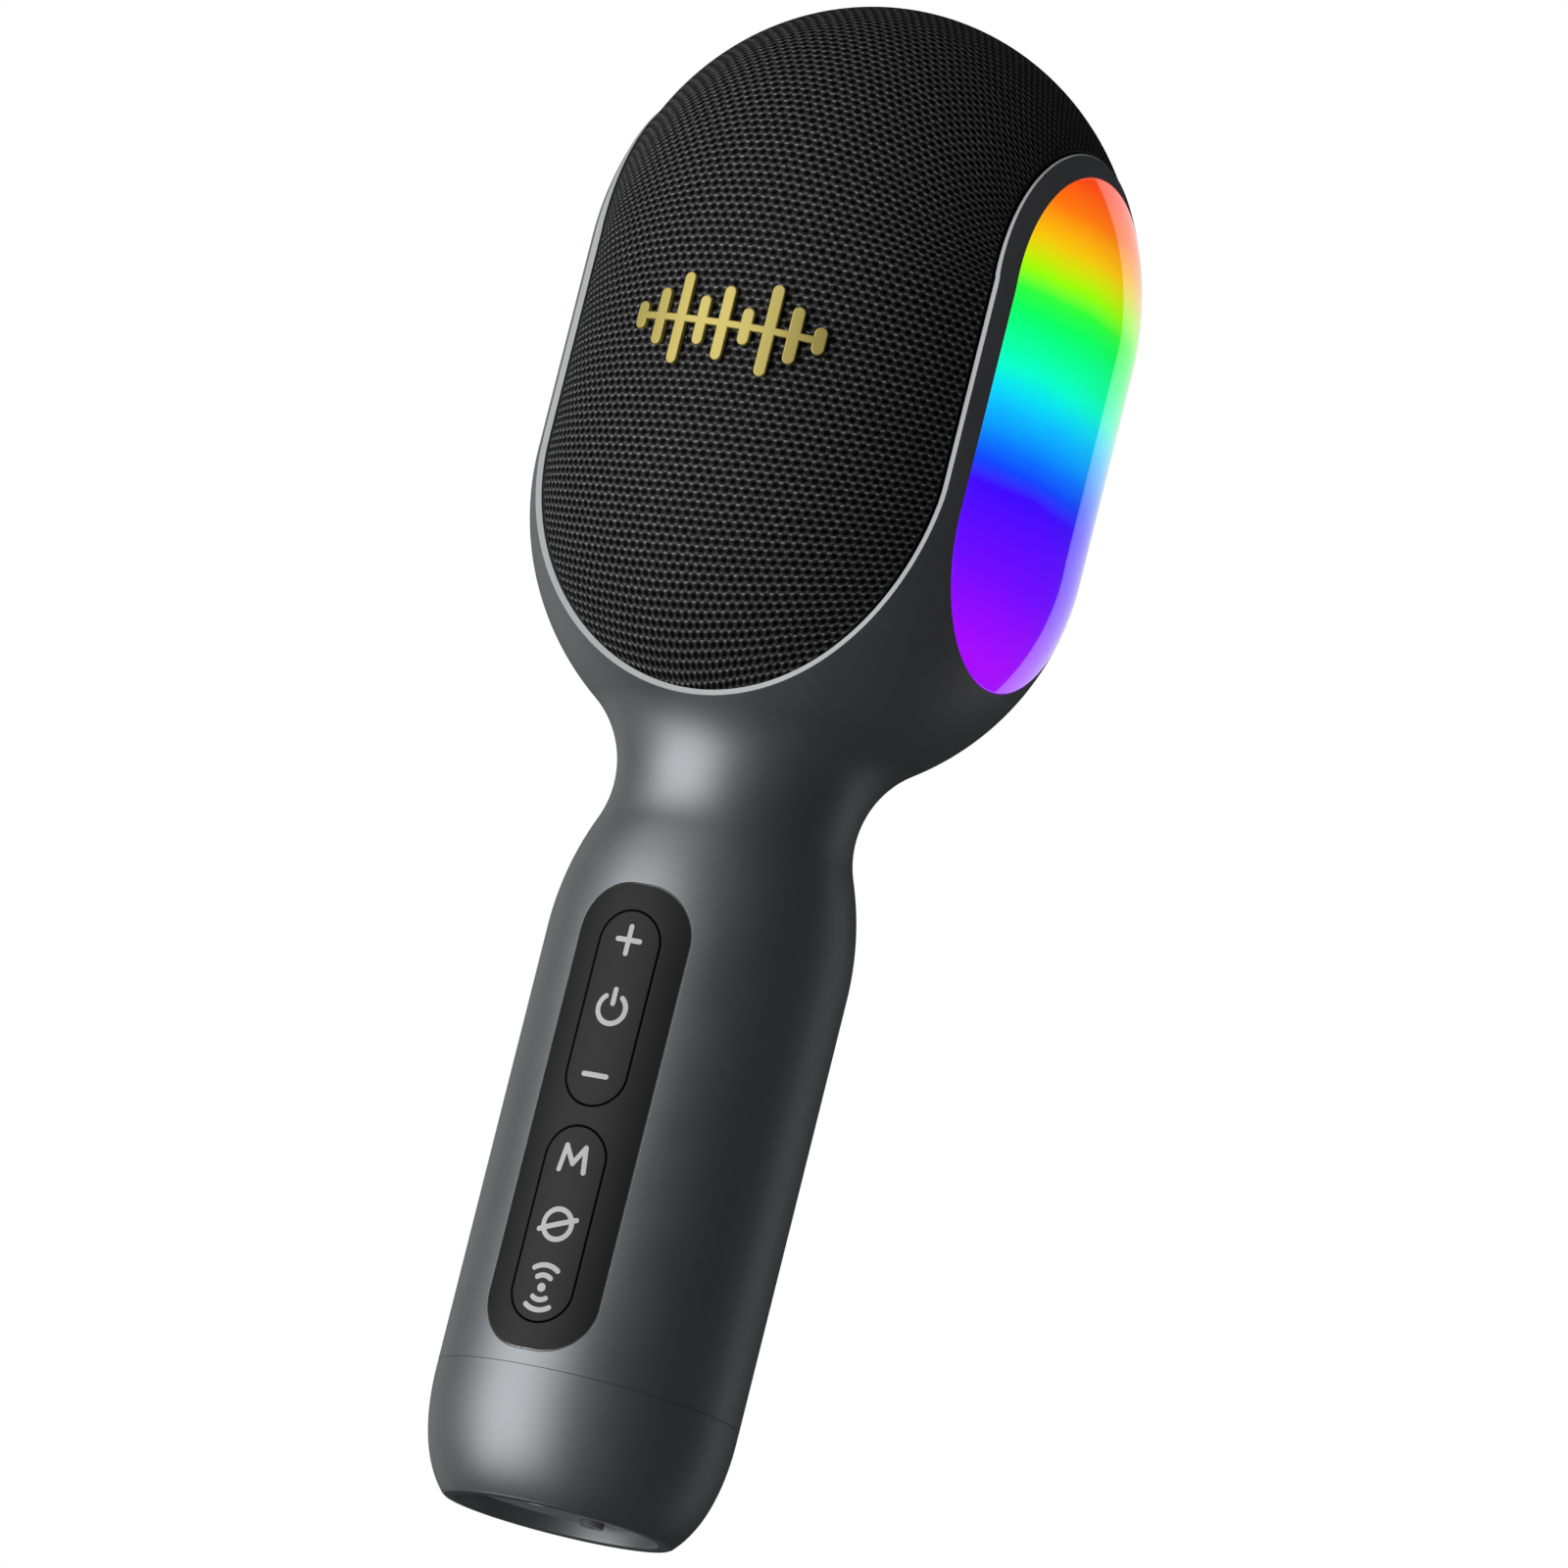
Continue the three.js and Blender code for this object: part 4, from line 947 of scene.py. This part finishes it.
def build_lenses():
    for word, side in (("left", -1), ("right", 1)):
        middle = side * math.pi / 2
        angles = np.linspace(middle - LENS_SPREAD, middle + LENS_SPREAD, 91)
        rows = heights(LENS_LOW_Z - LENS_R - 1, LENS_HIGH_Z + LENS_R + 1, 0.7)
        piece = sheet_piece(f"lens_{word}", form_surface(0), angles, rows, lens_region(side), [lens],
                            round_edge(LENS_EDGE, LENS_THICK, 5), LENS_INSET)
        settle(piece, "housing", "light_lens", f"light_lens_{word}")


# ------------------------------------------------------------------ keys
PANEL_DEPTH = 0.02
PANEL_INSET = 0.22
PANEL_EDGE = [(0, 0), (0.14, 0.1), (0.17, 0.2), (0.17, 2.0)]
KEY_DEPTH = 0.08
KEY_INSET = 0.32
KEY_EDGE = 0.16
KEY_THICK = 1.9
SIGN_DEPTH = 0.045
SIGN_EDGE = [(0, 0), (0.02, 0.08)]
SIGN_HALF = 4.3
STROKE = 0.41


def build_panel():
    region = both(panel_region, outside_of(key_region(UPPER_KEY), key_region(LOWER_KEY)))
    angles = np.linspace(-0.44, 0.44, 53)
    rows = heights(PANEL_LOW_Z - 1, PANEL_HIGH_Z + 1, 0.42)
    panel = sheet_piece("key_panel_face", form_surface(PANEL_DEPTH), angles, rows, region,
                        [key_black, cut_edge], PANEL_EDGE, PANEL_INSET,
                        edge_slots=[1, 1, 0], edge_of=panel_region)
    settle(panel, "housing", "key_plastic", "key_panel")


def build_key(name, key):
    angles = np.linspace(-0.25, 0.25, 37)
    rows = heights(key[0] - 0.5, key[1] + 0.5, 0.36)
    cap = sheet_piece(f"{name}_cap", form_surface(KEY_DEPTH), angles, rows, key_region(key), [key_black],
                      round_edge(KEY_EDGE, KEY_THICK), KEY_INSET)
    settle(cap, name, "key_plastic", name)


def line_distance(x, z, start, end):
    ax, az = x - start[0], z - start[1]
    bx, bz = end[0] - start[0], end[1] - start[1]
    share = np.clip((ax * bx + az * bz) / (bx * bx + bz * bz), 0, 1)
    return np.hypot(ax - bx * share, az - bz * share)


def arc_distance(x, z, radius, middle, half):
    """Distance to an arc round the origin; angles are in degrees from straight up."""
    angle = np.arctan2(x, z) - math.radians(middle)
    angle = (angle + math.pi) % (2 * math.pi) - math.pi
    nearest = np.clip(angle, -math.radians(half), math.radians(half)) + math.radians(middle)
    return np.hypot(x - radius * np.sin(nearest), z - radius * np.cos(nearest))


def path_distance(x, z, points):
    return np.min([line_distance(x, z, a, b) for a, b in zip(points, points[1:])], axis=0)


def plus_sign(x, z):
    across = line_distance(x, z, (-1.9, 0), (1.9, 0))
    return np.minimum(across, line_distance(x, z, (0, -2.15), (0, 2.15)))


def minus_sign(x, z):
    return line_distance(x, z, (-1.95, 0), (1.95, 0))


def power_sign(x, z):
    circle = arc_distance(x, z + 0.35, 2.35, 180, 143)
    return np.minimum(circle, line_distance(x, z, (0, 0.5), (0, 2.75)))


def mode_sign(x, z):
    corners = [(-2.15, -1.95), (-1.65, 1.95), (0, -0.8), (1.65, 1.95), (2.15, -1.95)]
    return path_distance(x, z, corners)


def struck_circle(x, z):
    circle = np.abs(np.hypot(x, z) - 2.4)
    return np.minimum(circle, line_distance(x, z, (-3.0, -1.1), (3.0, 1.1)))


def wave_sign(x, z):
    parts = [np.hypot(x, z) - 0.3]
    for middle in (0, 180):
        parts.append(arc_distance(x, z, 1.95, middle, 36))
        parts.append(arc_distance(x, z, 3.55, middle, 35))
    return np.min(parts, axis=0)


# key, name, height of the middle, distance to the strokes' middle lines
KEY_SIGNS = (
    ("upper_key", "plus", 87.9, plus_sign),
    ("upper_key", "power", 77.2, power_sign),
    ("upper_key", "minus", 66.2, minus_sign),
    ("lower_key", "mode", 52.8, mode_sign),
    ("lower_key", "effect", 42.3, struck_circle),
    ("lower_key", "wave", 32.2, wave_sign),
)


def build_sign(key, word, middle, distance):
    def region(p):
        return STROKE - distance(p[..., 0], p[..., 2] - middle)

    angles = np.linspace(-0.16, 0.16, 65)
    rows = heights(middle - SIGN_HALF, middle + SIGN_HALF, 0.12)
    sign = sheet_piece(f"{key}_{word}_sign", form_surface(SIGN_DEPTH), angles, rows, region,
                       [key_print], SIGN_EDGE)
    settle(sign, key, None)


def build_keys():
    build_panel()
    build_key("upper_key", UPPER_KEY)
    build_key("lower_key", LOWER_KEY)
    for sign in KEY_SIGNS:
        build_sign(*sign)


# ------------------------------------------------------------------ ports
# Half width, half height and corner radius of the USB-C opening and of the rim round it.
USB_OPENING = (4.8, 1.9, 1.8)
USB_RIM = (5.5, 2.6, 2.5)
USB_RIM_RISE = 0.17
JACK_OPENING_R = 3.1
JACK_INNER_R = 1.8
JACK_OUTER_R = 2.75
JACK_TOP_Z = 11
SCREW_HOLE_R = 1.3
SCREW_HEAD_R = 1.9
SCREW_HEAD_RISE = 0.95
CROSS_LONG = 1.1
CROSS_SHORT = 0.28
PLATE_GAP = 0.05
PLATE_EDGE = 0.12
PLATE_THICK = 2.2


def usb_region(size):
    return lambda p: rounded_box_distance(p[..., 0] - USB_X, p[..., 1], *size)


def cross_region(x, y, radius):
    """A round screw head with a cross-shaped slot."""

    def at(p):
        a, b = p[..., 0] - x, p[..., 1] - y
        wide = rounded_box_distance(a, b, CROSS_LONG, CROSS_SHORT, 0.1)
        tall = rounded_box_distance(a, b, CROSS_SHORT, CROSS_LONG, 0.1)
        return np.minimum(radius - np.hypot(a, b), -np.maximum(wide, tall))

    return at


def build_port_plate():
    holes = [usb_region(USB_OPENING), disc_region(JACK_X, 0, JACK_OPENING_R)]
    holes += [disc_region(0, side * PORT_SCREW_Y, SCREW_HOLE_R) for side in (-1, 1)]
    region = both(disc_region(0, 0, RIM_INNER_R - PLATE_GAP), outside_of(*holes))
    grid = heights(-RIM_INNER_R - 0.5, RIM_INNER_R + 0.5, 0.33)
    plate = sheet_piece("port_plate_face", flat_surface(PORT_RECESS), grid, grid, region, [port_black],
                        round_edge(PLATE_EDGE, PLATE_THICK, 3), PLATE_EDGE)
    settle(plate, "housing", "port_plastic", "port_plate")


def build_screw_head(word, y):
    head = sheet_piece(f"port_screw_{word}_head", flat_surface(PORT_RECESS - SCREW_HEAD_RISE),
                       heights(y - 2.2, y + 2.2, 0.11), heights(-2.2, 2.2, 0.11),
                       cross_region(0, y, SCREW_HEAD_R), [port_black], round_edge(0.15, 0.9, 3), 0.15)
    settle(head, "housing", "steel", f"port_screw_{word}")


def build_sockets():
    region = both(usb_region(USB_RIM), outside_of(usb_region(USB_OPENING)))
    rim = sheet_piece("usb_rim", flat_surface(PORT_RECESS - USB_RIM_RISE),
                      heights(-3, 3, 0.2), heights(-8, 4, 0.2),
                      region, [silver], round_edge(0.08, 0.15, 3), 0.08)
    settle(rim, "housing", None)
    low = PORT_RECESS + 0.1
    corners = [
        (JACK_INNER_R, low),
        (JACK_OUTER_R, low),
        (JACK_OUTER_R, JACK_TOP_Z),
        (JACK_INNER_R, JACK_TOP_Z),
    ]
    ring = rounded(corners, [0.3, 0.2, 0, 0])
    jack = turned_piece("audio_jack_sleeve", ring, SLOT_MATERIALS["black_plastic"], 64, (JACK_X, 0))
    settle(jack, "housing", None)


def build_ports():
    build_port_plate()
    build_screw_head("front", -PORT_SCREW_Y)
    build_screw_head("back", PORT_SCREW_Y)
    build_sockets()


# ------------------------------------------------------------------ studio
def direction(azimuth, elevation):
    a, e = math.radians(azimuth), math.radians(elevation)
    return Vector((math.sin(a) * math.cos(e), -math.cos(a) * math.cos(e), math.sin(e)))


CAMERA_AZIMUTH = 27.6
CAMERA_ELEVATION = -9.0
CAMERA_ROLL = 14.05
CAMERA_DISTANCE = 2.8
CAMERA_LENS = 412.6
TARGET_Z = 0.1208
TARGET_SIDE = 0.00632
SENSOR_WIDTH = 36


def add_camera():
    a, e = math.radians(CAMERA_AZIMUTH), math.radians(CAMERA_ELEVATION)
    right = Vector((math.cos(a), math.sin(a), 0))
    back = direction(CAMERA_AZIMUTH, CAMERA_ELEVATION)
    up = back.cross(right)
    roll = math.radians(CAMERA_ROLL)
    data = bpy.data.cameras.new("camera")
    data.lens = CAMERA_LENS
    data.sensor_width = SENSOR_WIDTH
    data.clip_start, data.clip_end = 0.1, 50
    camera = bpy.data.objects.new("camera", data)
    x_axis = right * math.cos(roll) + up * math.sin(roll)
    y_axis = up * math.cos(roll) - right * math.sin(roll)
    place = Vector((0, 0, TARGET_Z)) + right * TARGET_SIDE + back * CAMERA_DISTANCE
    camera.matrix_world = Matrix((
        (x_axis.x, y_axis.x, back.x, place.x),
        (x_axis.y, y_axis.y, back.y, place.y),
        (x_axis.z, y_axis.z, back.z, place.z),
        (0, 0, 0, 1),
    ))
    bpy.context.scene.collection.objects.link(camera)
    bpy.context.scene.camera = camera


# name, azimuth, height of the middle, distance, width, height, brightness
SOFTBOXES = (
    ("key", -29, 0.0, 1.1, 1.15, 1.6, 2.5),
    ("top", -20, 1.3, 0.5, 0.9, 0.7, 0.7),
)
# These two draw bands on the paint, and the light windows do not reflect them.
BACK_SOFTBOXES = (
    ("right_back", 146, 0.15, 1.1, 0.35, 1.3, 0.4),
    ("left_back", -118, 0.15, 1.1, 0.5, 1.3, 0.4),
)
# The rest each light one thing only: the windows, the floor and the recess with the ports.
LENS_CARD = ("lens_card", 188, 0.25, 1.2, 1.12, 3.2, 0.8)
FLOOR_LIGHT = ("floor_light", 0, 3.5, 0.3, 4.0, 4.0, 0.6)
RECESS_LIGHT = ("recess_light", 0, -1.0, 0.3, 0.8, 0.8, 3.6)
WINDOWS = ("lens_left", "lens_right")
AIM_Z = 0.14
RECESS = (
    "port_plate_face",
    "usb_rim",
    "audio_jack_sleeve",
    "port_screw_front_head",
    "port_screw_back_head",
)


def add_softbox(name, azimuth, height, distance, width, tall, brightness):
    data = bpy.data.lights.new(name, "AREA")
    data.shape = "RECTANGLE"
    data.size, data.size_y = width, tall
    data.energy = brightness * math.pi * width * tall
    lamp = bpy.data.objects.new(name, data)
    lamp.location = direction(azimuth, 0) * distance + Vector((0, 0, height))
    aim = Vector((0, 0, AIM_Z)) - lamp.location
    lamp.rotation_mode = "QUATERNION"
    lamp.rotation_quaternion = aim.to_track_quat("-Z", "Y")
    lamp.visible_camera = False
    bpy.context.scene.collection.objects.link(lamp)
    return lamp


def light_group(name, members, state):
    """A group of pieces that a light is kept to, or kept from."""
    group = bpy.data.collections.new(name)
    for member in members:
        group.objects.link(bpy.data.objects[member])
    for link in group.collection_objects:
        link.light_linking.link_state = state
    return group


def add_lights():
    for softbox in SOFTBOXES:
        add_softbox(*softbox)
    all_but_windows = light_group("all_but_windows", WINDOWS, "EXCLUDE")
    for softbox in BACK_SOFTBOXES:
        add_softbox(*softbox).light_linking.receiver_collection = all_but_windows
    windows = light_group("windows", WINDOWS, "INCLUDE")
    add_softbox(*LENS_CARD).light_linking.receiver_collection = windows
    recess = light_group("recess_only", RECESS, "INCLUDE")
    add_softbox(*RECESS_LIGHT).light_linking.receiver_collection = recess
    floor = light_group("floor_only", ("floor",), "INCLUDE")
    add_softbox(*FLOOR_LIGHT).light_linking.receiver_collection = floor


WORLD_FILL = 0.048


def add_world():
    world = bpy.data.worlds.new("studio")
    world.use_nodes = True
    tree = world.node_tree
    background = tree.nodes["Background"]
    path = tree.nodes.new("ShaderNodeLightPath")
    seen = Value(tree, path.outputs["Is Camera Ray"])
    strength = seen * (1.0 - WORLD_FILL) + WORLD_FILL
    background.inputs["Color"].default_value = (1, 1, 1, 1)
    tree.links.new(strength.socket, background.inputs["Strength"])
    bpy.context.scene.world = world


FLOOR_REACH = 6000


def add_floor():
    """A pale floor that shows from above only, because the camera looks up from below it."""
    material, tree, shader = new_material("pale_floor")
    faint = noise(tree, 60.0, 2.0)
    colour = mixed_colour(tree, faint, (0.80, 0.80, 0.80), (0.84, 0.84, 0.84))
    tree.links.new(colour, shader.inputs["Base Color"])
    shader.inputs["Roughness"].default_value = 0.7
    clear = tree.nodes.new("ShaderNodeBsdfTransparent")
    side = tree.nodes.new("ShaderNodeNewGeometry")
    mix = tree.nodes.new("ShaderNodeMixShader")
    tree.links.new(side.outputs["Backfacing"], mix.inputs[0])
    tree.links.new(shader.outputs[0], mix.inputs[1])
    tree.links.new(clear.outputs[0], mix.inputs[2])
    tree.links.new(mix.outputs[0], tree.nodes["Material Output"].inputs["Surface"])
    corners = [(x * FLOOR_REACH, y * FLOOR_REACH, 0) for x, y in ((-1, -1), (1, -1), (1, 1), (-1, 1))]
    floor = make_mesh("floor", corners, [[0, 1, 2, 3]], [material])
    floor.visible_diffuse = False
    floor.visible_glossy = False
    floor.visible_shadow = False


# ------------------------------------------------------------------ putting it together
bpy.context.scene.view_settings.view_transform = "Standard"
finish_cad_nodes()
build_housing()
build_cap()
build_grille()
build_badge()
build_lenses()
build_keys()
build_ports()
add_camera()
add_floor()
add_lights()
add_world()
